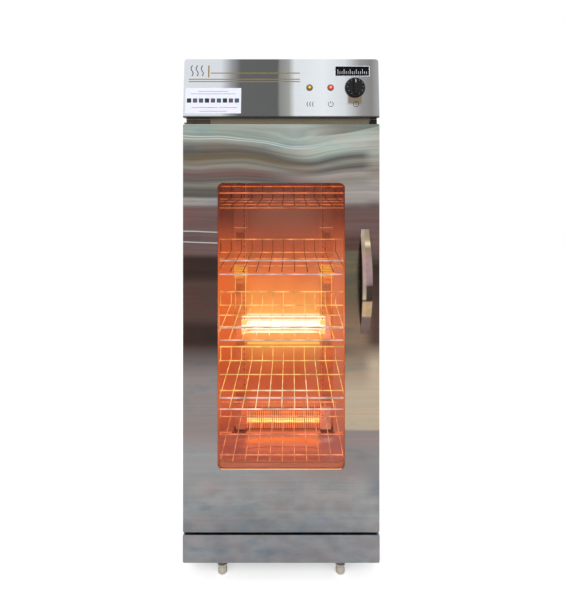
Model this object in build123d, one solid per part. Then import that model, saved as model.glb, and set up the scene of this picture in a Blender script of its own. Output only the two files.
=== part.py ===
"""Dish sterilizer cabinet: a tall insulated stainless steel cabinet with one glazed door, five wire
racks and two quartz heaters on the back wall.

Millimetres. +X to the right, +Y to the back, +Z up. The origin is on the floor, under the middle of
the whole object's box. Every size that can be chosen is named here once.
"""

import math
import os

from build123d import *

# Outside of the cabinet
width = 650.0
foot_height = 62.0
foot_pad_height = 33.0
plinth_height = 92.0
gap_below_door = 7.0
door_height = 1350.0
gap_above_door = 21.0
header_height = 198.0
header_lean = 6.0  # degrees that the control panel leans back
header_corner = 10.0
header_foot = 3.0  # small bend at the panel's bottom edge
panel_corner = 5.0  # rounded corners of the door and plinth
sheet = 1.2  # stainless steel sheet
fit_gap = 0.2  # between pieces that are fitted by hand

# Depths, from the front to the back
handle_reach = 45.0
door_thickness = 42.0
seal_space = 8.0
cavity_depth = 455.0
wall = 25.0  # cavity to the outside, at the sides and the back
gland_reach = 15.0

# Heated cavity
cavity_floor_height = 132.0  # above the underside of the cabinet
cavity_ceiling_drop = 43.0  # below the underside of the header
flange = 20.0  # folded edges of the casing

# Door window
window_width = 420.0
window_height = 947.0
window_rise = 208.0  # from the door's bottom edge
window_corner = 18.0
window_return = 5.0
glass_thickness = 5.0
inner_glass_thickness = 4.0
glass_lap = 14.0
gasket_thickness = 2.0
seal_width = 7.5

# Hinges
pivot_in = 16.0  # pivot from the door's left edge
pivot_back = 20.0  # pivot behind the door's front face
pin_radius = 5.0
pin_clearance = 0.05
pin_engagement = 12.0
bush_wall = 3.0  # thinnest part of the square bush
bush_length = 14.0
hinge_plate = 4.0
hinge_gap = 1.5  # between the door and the upper arm
hinge_leaf_length = 80.0
hinge_leaf_height = 17.0
hinge_arm_width = 30.0

# Handle
handle_length = 345.0
handle_width = 35.0
handle_end_width = 27.0
handle_thickness = 4.0
handle_foot = 22.0
handle_rise = 658.0  # lower end above the door's bottom edge
handle_inset = 48.5  # handle's middle from the door's right edge

# Racks
rack_1_height = 1031.0  # front floor rod above the cavity's floor, from the top rack down
rack_2_height = 799.0
rack_3_height = 569.0
rack_4_height = 328.0
rack_5_height = 85.0
rack_side_gap = 19.0  # middle of a side rail to the cavity's wall
rack_back_gap = 36.0  # middle of the back rail to the cavity's back
rack_front_reach = 27.0  # front rail in front of that floor rod
rack_height = 54.0
rack_setback = 34.0  # front floor rod behind the frame's face
rail_diameter = 5.5
rod_diameter = 4.5
wire_diameter = 3.2
rods = 4
last_rod_gap = 16.0  # last floor rod to the back rail
wires_per_side = 6
last_wire_gap = 6.8  # last wire to the side rail

# Rack supports
back_upright_wires = 4.19  # wire spacings from the middle, so that the tongues pass between wires
back_upright_face = 45.0
back_upright_stand = 9.0
side_upright_face = 40.0
side_upright_stand = 9.0
upright_flange = 9.0
upright_top_gap = 55.0  # to the cavity's ceiling
slot_pitch = 91.2
slot_width = 4.0
slot_height = 8.0
side_upright_setback = 80.0
clip_width = 38.0
clip_height = 30.0
tongue_width = 25.0
tongue_shift = 7.0  # off the clip's middle, clear of the wires
tongue_past_rail = 7.0

# Heaters
upper_heater_height = 463.0  # middle above the cavity's floor
lower_heater_height = 66.0
reflector_length = 420.0
reflector_height = 100.0
reflector_back_height = 76.0
reflector_reach = 22.0
reflector_sheet = 0.8
tube_spacing = 40.0
tube_stand = 11.5  # tube's middle in front of the reflector's back
tube_diameter = 12.0
tube_wall = 1.0
tube_length = 345.0
filament_radius = 3.6
filament_sides = 12
cap_wall = 2.0  # ceramic round the end of a tube
cap_length = 22.0
cap_seat = 10.0
bracket_sheet = 1.2
bracket_end_gap = 4.0  # short of the reflector's back, at each end

# Drip tray
tray_side_gap = 15.0
tray_back_gap = 40.8
tray_height = 12.0
tray_setback = 8.0
tray_corner = 14.0

# Controls
control_height = 101.0  # above the panel's bottom edge, along the panel
amber_lamp_inset = 231.0  # middles from the panel's right edge
red_lamp_inset = 161.0
knob_inset = 80.0
lamp_flange_radius = 11.0
lamp_side = 13.0
lamp_barrel_length = 24.0
lamp_proud = 3.0
lens_radius = 8.5
lens_height = 4.0
lens_taper = 30.0  # degrees
lens_sides = 16
knob_radius = 34.0
knob_shoulder = 29.0  # radius at the top of the skirt
knob_skirt = 12.0
knob_height = 21.0
knob_grip_width = 13.0
knob_grip_inset = 3.0  # each end, from the shoulder
knob_gap = 1.0
shaft_radius = 3.0
shaft_clearance = 0.05
shaft_length = 30.0
timer_width = 48.0
timer_height = 44.0
timer_depth = 30.0

# Feet
foot_inset = 126.0  # from the side
foot_front_setback = 38.0  # from the door's front
foot_back_setback = 45.0  # from the back
foot_sides = 12
foot_radius = 17.5
foot_waist_radius = 14.0
foot_pad_radius = 15.5
foot_toe_height = 6.0
foot_collar_height = 6.0
stem_radius = 5.0
stem_rise = 22.0  # above the underside of the cabinet
nut_radius = 10.0
nut_height = 9.0

# Back and wiring
louvre_length = 90.0
louvre_height = 5.0
louvre_pitch = 13.0
louvre_rows = 6
louvre_spacing = 0.4  # of the width, between the two banks
gland_bore = 4.5
gland_thread_radius = 8.0
gland_flange_radius = 12.0
gland_inset = 95.0  # from the left side
gland_height = 60.0  # above the underside of the cabinet
gland_thread_length = 12.0
terminal_length = 72.0
terminal_depth = 26.0
terminal_height = 20.0
terminal_step = 9.0  # height of the lower ledge on each side
terminal_ledge = 7.0
terminal_setback = 90.0  # from the back
cutout_radius = 9.0
cutout_height = 9.0
cutout_blade_thickness = 0.8  # blade terminals of the thermal cut-out
cutout_blade_width = 6.3
cutout_blade_length = 8.0
cutout_blade_offset = 4.0
cutout_shift = -60.0  # from the middle
cutout_setback = 320.0  # behind the frame's face
catch_width = 20.0
catch_depth = 14.0
catch_height = 16.0
catch_inset = 2.0  # from the side, and above the door
catch_nose_length = 3.0
catch_nose_depth = 6.0
catch_nose_height = 8.0

# Places that follow from those sizes
carcass_depth = cavity_depth + wall
overall_depth = handle_reach + door_thickness + seal_space + carcass_depth + gland_reach
front = -overall_depth / 2 + handle_reach
door_back = front + door_thickness
frame_face = door_back + seal_space
frame_back = frame_face + sheet
cavity_back = frame_face + cavity_depth
back_face = frame_face + carcass_depth
half_width = width / 2
half_cavity = half_width - wall
underside = foot_height
plinth_top = underside + plinth_height
door_bottom = plinth_top + gap_below_door
door_top = door_bottom + door_height
header_bottom = door_top + gap_above_door
top = header_bottom + header_height
cavity_floor = underside + cavity_floor_height
cavity_ceiling = header_bottom - cavity_ceiling_drop
upright_height = cavity_ceiling - cavity_floor - upright_top_gap
window_bottom = door_bottom + window_rise
window_top = window_bottom + window_height
pivot_x = -half_width + pivot_in
pivot_y = front + pivot_back
amber_lamp_x = half_width - amber_lamp_inset
red_lamp_x = half_width - red_lamp_inset
knob_x = half_width - knob_inset
gland_x = gland_inset - half_width
back_upright_front = cavity_back - back_upright_stand
side_upright_inner = half_cavity - side_upright_stand
rack_front_rod = frame_face + rack_setback
rack_front_rail = rack_front_rod - rack_front_reach
rack_back_rail = cavity_back - rack_back_gap
rod_pitch = (rack_back_rail - last_rod_gap - rack_front_rod) / (rods - 1)
half_rack = half_cavity - rack_side_gap
wire_pitch = (half_rack - last_wire_gap) / wires_per_side
back_upright_x = back_upright_wires * wire_pitch
side_upright_y = frame_face + side_upright_setback
tube_y = back_upright_front - reflector_sheet - tube_stand
tube_radius = tube_diameter / 2
rack_heights = [rack_1_height, rack_2_height, rack_3_height, rack_4_height, rack_5_height]
rack_floors = [cavity_floor + height for height in rack_heights]
heater_middles = [cavity_floor + height for height in (upper_heater_height, lower_heater_height)]
panel_plane = Plane(
    origin=(0, front, header_bottom),
    x_dir=(1, 0, 0),
    z_dir=(0, -math.cos(math.radians(header_lean)), math.sin(math.radians(header_lean))),
)


def block(x, y, z):
    """A box between three (low, high) pairs."""
    low = Vector(x[0], y[0], z[0])
    high = Vector(x[1], y[1], z[1])
    return Pos(*((low + high) / 2)) * Box(*(high - low))


def mirrored(low, high):
    """A span and the same span on the left side."""
    return [(low, high), (-high, -low)]


def strip(points, thickness):
    """Outline of a bent sheet. The points run along one face and the metal lies on their left."""
    points = [Vector(*point) for point in points]
    other = []
    for index, point in enumerate(points):
        runs = []
        if index:
            runs.append((point - points[index - 1]).normalized())
        if index < len(points) - 1:
            runs.append((points[index + 1] - point).normalized())
        normals = [Vector(-run.Y, run.X) for run in runs]
        across = (normals[0] + normals[-1]).normalized()
        other.append(point + across * (thickness / across.dot(normals[0])))
    return Polyline(*points, *reversed(other), close=True)


def bent_sheet(points, thickness, plane, length):
    """A bent sheet drawn in a plane and drawn out to both sides of it."""
    face = make_face(strip(points, thickness))
    return extrude(plane * face, length / 2, both=True)


def rounded_slab(size_x, size_z, corner, y, centre_z):
    """An upright slab with rounded corners between two depths."""
    face = Plane(origin=(0, y[0], centre_z), x_dir=(1, 0, 0), z_dir=(0, 1, 0)) * RectangleRounded(
        size_x, size_z, corner
    )
    return extrude(face, y[1] - y[0])


def polygon_bar(path, diameter, sides, section_plane):
    """A rod with a flat-sided section, swept along a path with mitred bends."""
    turn = 180 / sides
    section = RegularPolygon(diameter / 2, sides, major_radius=False, rotation=turn)
    return sweep(section_plane * section, path=path, transition=Transition.RIGHT)


# Casing


def side_panels():
    """Left and right side sheets with a flange folded in at the front and the back."""
    outline = [
        (half_width - flange, frame_back),
        (half_width, frame_back),
        (half_width, back_face - sheet),
        (half_width - flange, back_face - sheet),
    ]
    middle = (underside + top - sheet) / 2
    right = bent_sheet(outline, sheet, Plane.XY.offset(middle), top - sheet - underside)
    return mirror(right, Plane.YZ), right


def back_panel():
    """Back sheet with two banks of louvre slots for the control space and a hole for the gland."""
    panel = block((-half_width, half_width), (back_face - sheet, back_face), (underside, top - sheet))
    slot = Box(louvre_length, 4 * sheet, louvre_height)
    middle_z = header_bottom + header_height / 2
    for place in GridLocations(louvre_spacing * width, louvre_pitch, 2, louvre_rows):
        x, row = place.position.X, place.position.Y
        panel -= Pos(x, back_face, middle_z + row) * slot
    return panel - gland_hole()


def gland_hole():
    z = underside + gland_height
    hole = Cylinder(gland_thread_radius + fit_gap / 4, 6 * sheet, rotation=(90, 0, 0))
    return Pos(gland_x, back_face, z) * hole


def cord_gland():
    """Cable gland through the back sheet: thread inside, hexagon outside, bored through."""
    z = underside + gland_height
    outward = Plane(origin=(gland_x, back_face, z), x_dir=(1, 0, 0), z_dir=(0, 1, 0))
    hexagon = extrude(outward * RegularPolygon(gland_flange_radius, 6), gland_reach)
    thread = extrude(outward * RegularPolygon(gland_thread_radius, 12), -gland_thread_length)
    bore = extrude(
        outward.offset(-gland_thread_length) * Circle(gland_bore), gland_thread_length + gland_reach
    )
    return hexagon + thread - bore


def top_panel():
    """Lid with a rim that drops inside the side panels."""
    inner = half_width - sheet - fit_gap
    lid = block((-half_width, half_width), (frame_face, back_face), (top - sheet, top))
    rim = block((-inner, inner), (frame_back + 2 * sheet, back_face - 3 * sheet), (top - flange, top - sheet))
    hollow = block(
        (-inner + sheet, inner - sheet),
        (frame_back + 3 * sheet, back_face - 4 * sheet),
        (top - flange, top - sheet),
    )
    return lid + (rim - hollow)


def base_pan():
    """Bottom sheet with turned-up sides, an apron inside the plinth, and a welded nut over each foot."""
    inner = half_width - sheet - fit_gap
    outline = [(inner, flange), (inner, 0), (-inner, 0), (-inner, flange)]
    plane = Plane(
        origin=(0, (frame_back + back_face - sheet) / 2, underside), x_dir=(1, 0, 0), z_dir=(0, -1, 0)
    )
    pan = bent_sheet(outline, -sheet, plane, back_face - sheet - frame_back - 4 * sheet)
    apron = half_width - flange - 1
    pan += block((-apron, apron), (front + 2 * sheet, frame_back + 4 * sheet), (underside, underside + sheet))
    for x, y in foot_places():
        pan += Pos(x, y, underside) * extrude(RegularPolygon(nut_radius, 6), nut_height)
    for x, y in foot_places():
        pan -= Pos(x, y, underside + nut_height / 2) * Cylinder(stem_radius, 2 * nut_height)
    return pan


def plinth_panel():
    """Kick plate: a front with returns to the frame, closed on top, open underneath."""
    outer = block((-half_width, half_width), (front, frame_face), (underside, plinth_top))
    uprights = outer.edges().filter_by(Axis.Y)
    outer = fillet(uprights, panel_corner)
    hollow = block(
        (-half_width + sheet, half_width - sheet),
        (front + sheet, frame_face),
        (underside - sheet, plinth_top - sheet),
    )
    return outer - hollow


def front_frame():
    """Face sheets round the mouth of the cavity: two stiles, a sill and a head. They stand just over
    the base pan's apron."""
    foot = underside + 2 * sheet
    y = (frame_face, frame_back)
    middle = (-half_cavity, half_cavity)
    pieces = [block(x, y, (foot, header_bottom)) for x in mirrored(half_cavity, half_width)]
    pieces.append(block(middle, y, (foot, cavity_floor)))
    pieces.append(block(middle, y, (cavity_ceiling, header_bottom)))
    return Compound(pieces)


def panel_prism(inset):
    """Side profile of the control panel drawn out to its width, everywhere smaller by an inset."""
    lean = math.tan(math.radians(header_lean))
    slope = inset / math.cos(math.radians(header_lean))
    bottom, head = header_bottom + inset, top - inset
    nose = front + slope + (bottom - header_bottom) * lean
    profile = Polyline(
        (nose + header_foot, bottom),
        (frame_face, bottom),
        (frame_face, head),
        (front + slope + (head - header_bottom) * lean, head),
        (nose + header_foot * lean, bottom + header_foot),
        close=True,
    )
    face = Plane.YZ * make_face(profile)
    prism = extrude(face, half_width - inset, both=True)
    corners = prism.edges().filter_by(Axis.Y).group_by(Axis.Z)[-1]
    return fillet(corners, header_corner - inset)


def header_panel():
    """Control panel: a folded front that leans back, with holes for the lamps and the timer."""
    shell = panel_prism(0) - panel_prism(sheet)
    shell -= block(
        (flange - half_width, half_width - flange),
        (frame_face - 2 * sheet, frame_face + sheet),
        (header_bottom + flange, top - flange),
    )
    hole = Box(lamp_side + fit_gap / 2, lamp_side + fit_gap / 2, 8 * sheet)
    for x in (amber_lamp_x, red_lamp_x):
        shell -= on_panel(hole, x)
    return shell - on_panel(Cylinder(shaft_radius + 1, 8 * sheet), knob_x)


def deck():
    """Sheet between the cavity's insulation and the control space, with turned-down edges."""
    inner = half_width - sheet - fit_gap
    outline = [(-inner, -flange), (-inner, 0), (inner, 0), (inner, -flange)]
    plane = Plane(
        origin=(0, (frame_back + back_face - sheet) / 2, header_bottom + sheet),
        x_dir=(1, 0, 0),
        z_dir=(0, -1, 0),
    )
    return bent_sheet(outline, -sheet, plane, back_face - sheet - frame_back - 4 * sheet)


def insulation():
    """Mineral wool slabs between the casing and the cavity's lining."""
    outer = half_width - sheet - 2 * fit_gap - sheet
    lining = half_cavity + sheet
    y = (frame_back + fit_gap, cavity_back + sheet)
    low, high = cavity_floor - wall, header_bottom - fit_gap
    side_y = (frame_back + sheet + fit_gap, y[1])
    side_z = (underside + flange + 1, header_bottom - flange - 1)
    slabs = [block(x, side_y, side_z) for x in mirrored(lining, outer)]
    middle = (-lining, lining)
    slabs.append(block(middle, (cavity_back + sheet, back_face - 2 * sheet), (low, high)))
    slabs.append(block(middle, y, (cavity_ceiling + sheet, high)))
    slabs.append(block(middle, y, (low, cavity_floor - sheet)))
    return Compound(slabs)


# Lining of the cavity


def liner_sides():
    y = (frame_back, cavity_back + sheet)
    z = (cavity_floor - sheet, cavity_ceiling + sheet)
    right, left = (block(x, y, z) for x in mirrored(half_cavity, half_cavity + sheet))
    return left, right


def liner_back():
    return block((-half_cavity, half_cavity), (cavity_back, cavity_back + sheet), (cavity_floor, cavity_ceiling))


def liner_ceiling():
    return block(
        (-half_cavity, half_cavity), (frame_back, cavity_back + sheet), (cavity_ceiling, cavity_ceiling + sheet)
    )


def liner_floor():
    return block(
        (-half_cavity, half_cavity), (frame_back, cavity_back + sheet), (cavity_floor - sheet, cavity_floor)
    )


# Rack supports


def upright(face_width, stand):
    """A hat-section upright standing on XY: its back is on y = 0 and its face at y = -stand."""
    half = face_width / 2
    outline = [
        (-half - upright_flange, 0),
        (-half, 0),
        (-half, -stand),
        (half, -stand),
        (half, 0),
        (half + upright_flange, 0),
    ]
    return extrude(make_face(strip(outline, sheet)), upright_height)


def back_uprights():
    """Two uprights on the back wall. Slots run up the flange that faces the middle of the cavity."""
    bar = Pos(0, -sheet, 0) * upright(back_upright_face - 2 * sheet, back_upright_stand - sheet)
    slot_x = back_upright_face / 2 + upright_flange / 2
    slots = [
        Pos(slot_x, -sheet / 2, slot_pitch * (step + 1)) * Box(slot_width, 3 * sheet, slot_height)
        for step in range(int(upright_height / slot_pitch) - 1)
    ]
    bar -= slots
    left = Pos(-back_upright_x, cavity_back, cavity_floor) * bar
    return Compound([left, mirror(left, Plane.YZ)])


def side_uprights():
    """Two uprights near the front, on the side walls."""
    bar = Pos(0, -sheet, 0) * upright(side_upright_face - 2 * sheet, side_upright_stand - sheet)
    right = Pos(half_cavity, side_upright_y, cavity_floor) * Rot(0, 0, -90) * bar
    return Compound([right, mirror(right, Plane.YZ)])


def clip(reach):
    """A rack clip: a plate on z = 0 upwards against y = 0, with a hooked tongue that reaches forward."""
    plate = block((-clip_width / 2, clip_width / 2), (-sheet, 0), (-sheet, clip_height))
    across = (tongue_shift - tongue_width / 2, tongue_shift + tongue_width / 2)
    tongue = block(across, (-reach, -sheet), (-sheet, 0))
    lip = block(across, (-reach, -reach + sheet), (0, rod_diameter / 2))
    return plate + tongue + lip


def tongue_top(level):
    """The rack's rails lie on the tongues."""
    return level + rack_height - rail_diameter / 2 - fit_gap


def back_clips():
    reach = back_upright_front - rack_back_rail + tongue_past_rail
    solids = []
    for level in rack_floors:
        right = Pos(back_upright_x, back_upright_front, tongue_top(level)) * clip(reach)
        solids += [right, mirror(right, Plane.YZ)]
    return Compound(solids)


def side_clips():
    reach = side_upright_inner - half_rack + tongue_past_rail
    solids = []
    for level in rack_floors:
        right = Pos(side_upright_inner, side_upright_y, tongue_top(level)) * Rot(0, 0, -90) * clip(reach)
        solids += [right, mirror(right, Plane.YZ)]
    return Compound(solids)


# Racks


def rack(level):
    """A wire basket without a front: rods folded up at the sides, wires folded up at the back."""
    rail_z = level + rack_height
    rail_radius = rail_diameter / 2
    rod_radius = rod_diameter / 2
    wire_radius = wire_diameter / 2
    solids = []
    for y in (rack_front_rail, rack_back_rail):
        start, end = (-half_rack - rail_radius, y, rail_z), (half_rack + rail_radius, y, rail_z)
        plane = Plane(origin=start, x_dir=(0, 1, 0), z_dir=(1, 0, 0))
        solids.append(polygon_bar(Line(start, end), rail_diameter, 8, plane))
    for x in (-half_rack, half_rack):
        start, end = (x, rack_front_rail + rail_radius, rail_z), (x, rack_back_rail - rail_radius, rail_z)
        plane = Plane(origin=start, x_dir=(1, 0, 0), z_dir=(0, 1, 0))
        solids.append(polygon_bar(Line(start, end), rail_diameter, 8, plane))
    for step in range(rods):
        y = rack_front_rod + step * rod_pitch
        head = rail_z - rail_radius
        start = (-half_rack, y, head)
        path = Polyline(start, (-half_rack, y, level), (half_rack, y, level), (half_rack, y, head))
        plane = Plane(origin=start, x_dir=(0, 1, 0), z_dir=(0, 0, -1))
        solids.append(polygon_bar(path, rod_diameter, 6, plane))
    wire_z = level + rod_radius + wire_radius
    riser_y = rack_back_rail - rail_radius - wire_radius
    for step in range(-wires_per_side, wires_per_side + 1):
        x = step * wire_pitch
        start = (x, rack_front_rod - rod_radius, wire_z)
        path = Polyline(start, (x, riser_y, wire_z), (x, riser_y, rail_z + rail_radius / 2))
        plane = Plane(origin=start, x_dir=(1, 0, 0), z_dir=(0, 1, 0))
        solids.append(polygon_bar(path, wire_diameter, 6, plane))
    return Compound(solids)


# Heaters


def reflector(height):
    """A shallow trough with splayed lips and a plate at each end that holds the tubes' caps."""
    back = back_upright_front
    half_back, half_mouth = reflector_back_height / 2, reflector_height / 2
    outline = [
        (back - reflector_reach, height - half_mouth),
        (back, height - half_back),
        (back, height + half_back),
        (back - reflector_reach, height + half_mouth),
    ]
    trough = bent_sheet(outline, reflector_sheet, Plane.YZ, reflector_length)
    plate_y = (tube_y - tube_radius - cap_wall, back - reflector_sheet)
    for x in mirrored(cap_back(), cap_back() + bracket_sheet):
        trough += block(x, plate_y, (height - half_back + bracket_end_gap, height + half_back - bracket_end_gap))
    return trough


def tube_heights(height):
    return [height - tube_spacing / 2, height + tube_spacing / 2]


def cap_back():
    """Distance of a cap's outer shoulder from the middle of the heater."""
    return tube_length / 2 + cap_length - cap_seat


def quartz_tubes(height):
    tubes = []
    for z in tube_heights(height):
        start = Plane(origin=(-tube_length / 2, tube_y, z), z_dir=(1, 0, 0))
        ring = Circle(tube_radius) - Circle(tube_radius - tube_wall)
        tubes.append(extrude(start * ring, tube_length))
    return Compound(tubes)


def tube_caps(height):
    """Ceramic blocks with a square socket, one over each end of a tube."""
    mouth = tube_length / 2 - cap_seat
    side, socket = 2 * (tube_radius + cap_wall), 2 * tube_radius + fit_gap / 2
    cap = Pos((mouth + cap_back()) / 2, 0, 0) * Box(cap_back() - mouth, side, side)
    cap -= Pos((mouth + tube_length / 2) / 2, 0, 0) * Box(cap_seat, socket, socket)
    caps = []
    for z in tube_heights(height):
        right = Pos(0, tube_y, z) * cap
        caps += [right, mirror(right, Plane.YZ)]
    return Compound(caps)


def filaments(height):
    """The space that the resistance wire's winding takes up inside each tube, from cap to cap."""
    rods = []
    for z in tube_heights(height):
        start = Plane(origin=(-tube_length / 2, tube_y, z), z_dir=(1, 0, 0))
        rods.append(extrude(start * RegularPolygon(filament_radius, filament_sides), tube_length))
    return Compound(rods)


# Drip tray


def drip_tray():
    """Shallow tray on the cavity's floor with rounded corners."""
    y = (frame_back + tray_setback, cavity_back - tray_back_gap)
    centre = (0, sum(y) / 2, cavity_floor + fit_gap)
    tray_width, tray_depth = 2 * (half_cavity - tray_side_gap), y[1] - y[0]
    outer = Pos(*centre) * extrude(RectangleRounded(tray_width, tray_depth, tray_corner), tray_height)
    inner = Pos(*centre) * Pos(0, 0, sheet) * extrude(
        RectangleRounded(tray_width - 2 * sheet, tray_depth - 2 * sheet, tray_corner - sheet), tray_height
    )
    return outer - inner


# Door


def window_hole(grow, y):
    size_x, size_z = window_width + 2 * grow, window_height + 2 * grow
    middle = (window_bottom + window_top) / 2
    return rounded_slab(size_x, size_z, window_corner + grow, y, middle)


def door_skin():
    """Door casing: a folded pan with a rounded window whose edge is turned in."""
    y = (front, door_back)
    middle = (door_bottom + door_top) / 2
    pan = rounded_slab(width, door_height, panel_corner, y, middle)
    pan -= rounded_slab(
        width - 2 * sheet, door_height - 2 * sheet, panel_corner - sheet, (front + sheet, door_back), middle
    )
    pan += window_hole(sheet, (front, front + window_return))
    pan -= window_hole(0, (front - 1, front + window_return + 1))
    side = bush_side() + fit_gap / 2
    for z in (door_bottom, door_top):
        pan -= Pos(pivot_x, pivot_y, z) * Box(side, side, 4 * sheet)
    return pan


def door_liner():
    """Inner face of the door, set inside the casing's edge, with the same window."""
    middle = (door_bottom + door_top) / 2
    inset = panel_corner / 2
    plate = Pos(0, door_back - sheet / 2, middle) * Box(width - 2 * inset, sheet, door_height - 2 * inset)
    return plate - window_hole(0, (door_back - 2 * sheet, door_back + sheet))


def pane(y):
    """A square-cornered slab that overlaps the window all round."""
    middle = (window_bottom + window_top) / 2
    size_x, size_z = window_width + 2 * glass_lap, window_height + 2 * glass_lap
    return Pos(0, sum(y) / 2, middle) * Box(size_x, y[1] - y[0], size_z)


def glass_front():
    return front + window_return + gasket_thickness


def door_glass():
    """Outer pane behind the gasket and inner pane against the lining."""
    outer = pane((glass_front(), glass_front() + glass_thickness))
    inner_back = door_back - sheet
    return Compound([outer, pane((inner_back - inner_glass_thickness, inner_back))])


def glass_gasket():
    """Flat gasket between the turned-in window edge and the outer pane."""
    y = (front + window_return, glass_front())
    return pane(y) - window_hole(0, (y[0] - 1, y[1] + 1))


def door_insulation():
    """Wool frame that fills the door round the panes and holds them apart."""
    middle = (door_bottom + door_top) / 2
    inset = panel_corner
    y = (front + window_return + fit_gap, door_back - sheet)
    wool = Pos(0, sum(y) / 2, middle) * Box(width - 2 * inset, y[1] - y[0], door_height - 2 * inset)
    hole = window_width + 2 * (glass_lap + fit_gap), window_height + 2 * (glass_lap + fit_gap)
    wool -= Pos(0, sum(y) / 2, (window_bottom + window_top) / 2) * Box(hole[0], 2 * door_thickness, hole[1])
    side = bush_side() + 2 * fit_gap
    for z in (door_bottom, door_top):
        wool -= Pos(pivot_x, pivot_y, z) * Box(2 * side, side, 2 * bush_length + 4)
    return wool


def door_seal():
    """Soft seal on the door's inner face, round the mouth of the cavity."""
    y = (door_back, frame_face - 1.5 * fit_gap)
    place = Pos(0, sum(y) / 2, (cavity_floor + cavity_ceiling) / 2)
    size_x, size_z = 2 * half_cavity + 2, cavity_ceiling - cavity_floor + 2
    outer = Box(size_x + 2 * seal_width, y[1] - y[0], size_z + 2 * seal_width)
    return place * (outer - Box(size_x, 2 * seal_space, size_z))


def bush_side():
    return 2 * (pin_radius + pin_clearance + bush_wall)


def hinge_bushes():
    """Square bushes in the top and bottom edges of the door."""
    sleeve = extrude(Rectangle(bush_side(), bush_side()) - Circle(pin_radius + pin_clearance), bush_length)
    lower = Pos(pivot_x, pivot_y, door_bottom) * sleeve
    upper = Pos(pivot_x, pivot_y, door_top - bush_length) * sleeve
    return Compound([lower, upper])


def door_handle():
    """A flat bar bowed away from the door, with a flat foot at each end."""
    middle_x = half_width - handle_inset
    low = door_bottom + handle_rise
    high = low + handle_length
    crown = front - handle_reach
    middle_z = (low + high) / 2
    side = Plane.YZ.offset(middle_x)
    outer = ThreePointArc((front - handle_thickness, low + handle_foot), (crown, middle_z),
                          (front - handle_thickness, high - handle_foot))
    inner = ThreePointArc((front, high - handle_foot), (crown + handle_thickness, middle_z),
                          (front, low + handle_foot))
    outline = Wire([
        Line((front, low), (front - handle_thickness, low)).edge(),
        Line((front - handle_thickness, low), (front - handle_thickness, low + handle_foot)).edge(),
        outer.edge(),
        Line((front - handle_thickness, high - handle_foot), (front - handle_thickness, high)).edge(),
        Line((front - handle_thickness, high), (front, high)).edge(),
        Line((front, high), (front, high - handle_foot)).edge(),
        inner.edge(),
        Line((front, low + handle_foot), (front, low)).edge(),
    ])
    bar = extrude(side * make_face(outline), handle_width / 2, both=True)
    half, half_end = handle_width / 2, handle_end_width / 2
    edge = [
        ThreePointArc((middle_x + half_end, low), (middle_x + half, middle_z), (middle_x + half_end, high)),
        Line((middle_x + half_end, high), (middle_x - half_end, high)),
        ThreePointArc((middle_x - half_end, high), (middle_x - half, middle_z), (middle_x - half_end, low)),
        Line((middle_x - half_end, low), (middle_x + half_end, low)),
    ]
    face = Plane.XZ * make_face(Wire([piece.edge() for piece in edge]))
    return bar & extrude(face, overall_depth, both=True)


# Hinges and catch


def hinge_bracket(arm_z, leaf_z, pin_z):
    """A leaf on the frame's face, an arm that reaches forward over the pivot, and its pin."""
    left = -half_width + 2
    arm_front = pivot_y - pin_radius - bush_wall
    arm = block((left, left + hinge_arm_width), (arm_front, frame_face), arm_z)
    plate = block((left, left + hinge_leaf_length), (frame_face - 2 * sheet, frame_face), leaf_z)
    pin = Pos(pivot_x, pivot_y, pin_z[0]) * extrude(Circle(pin_radius), pin_z[1] - pin_z[0])
    return arm + plate + pin


def hinge_bracket_top():
    low = door_top + hinge_gap
    leaf = (low, low + hinge_leaf_height)
    return hinge_bracket((low, low + hinge_plate), leaf, (door_top - pin_engagement, low))


def hinge_bracket_bottom():
    arm = (plinth_top, plinth_top + hinge_plate)
    return hinge_bracket(arm, arm, (arm[1], door_bottom + pin_engagement))


def door_catch():
    """Magnetic catch above the door's free corner."""
    right = half_width - catch_inset
    left = right - catch_width
    low = door_top + catch_inset
    body = block((left, right), (frame_face - catch_depth, frame_face), (low, low + catch_height))
    nose_y = (frame_face - catch_nose_depth, frame_face)
    return body + block((left - catch_nose_length, left), nose_y, (low, low + catch_nose_height))


# Controls


def on_panel(solid, x):
    """Puts a piece drawn on XY square to the control panel."""
    return panel_plane.location * Pos(x, control_height, 0) * solid


def lamp_bezel(x):
    """Lamp holder: a round flange in front of the panel and a square body behind it."""
    flange_disc = extrude(Circle(lamp_flange_radius), lamp_proud)
    barrel = Pos(0, 0, -lamp_barrel_length) * extrude(Rectangle(lamp_side, lamp_side), lamp_barrel_length)
    return on_panel(flange_disc + barrel, x)


def lamp_lens(x):
    """Faceted lens on the lamp holder."""
    lens = extrude(RegularPolygon(lens_radius, lens_sides), lens_height, taper=lens_taper)
    return on_panel(Pos(0, 0, lamp_proud) * lens, x)


def timer_knob():
    """Tapered knob with a raised grip bar and the shaft that turns in the timer."""
    skirt_top = knob_gap + knob_skirt
    profile = Polyline(
        (0, knob_gap), (knob_radius, knob_gap), (knob_shoulder, skirt_top), (0, skirt_top), close=True
    )
    body = revolve(Plane.XZ * make_face(profile), Axis.Z)
    body += Pos(0, 0, skirt_top) * extrude(
        SlotOverall(2 * (knob_shoulder - knob_grip_inset), knob_grip_width, rotation=90), knob_height - knob_skirt
    )
    body += Pos(0, 0, knob_gap - shaft_length) * extrude(Circle(shaft_radius), shaft_length)
    return on_panel(body, knob_x)


def timer_body():
    """Mechanical timer behind the panel, with a bearing for the knob's shaft."""
    low = -sheet - timer_depth
    case = Pos(0, 0, low) * extrude(Rectangle(timer_width, timer_height), timer_depth)
    bore = Pos(0, 0, low) * extrude(Circle(shaft_radius + shaft_clearance), timer_depth + sheet)
    return on_panel(case - bore, knob_x)


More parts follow.
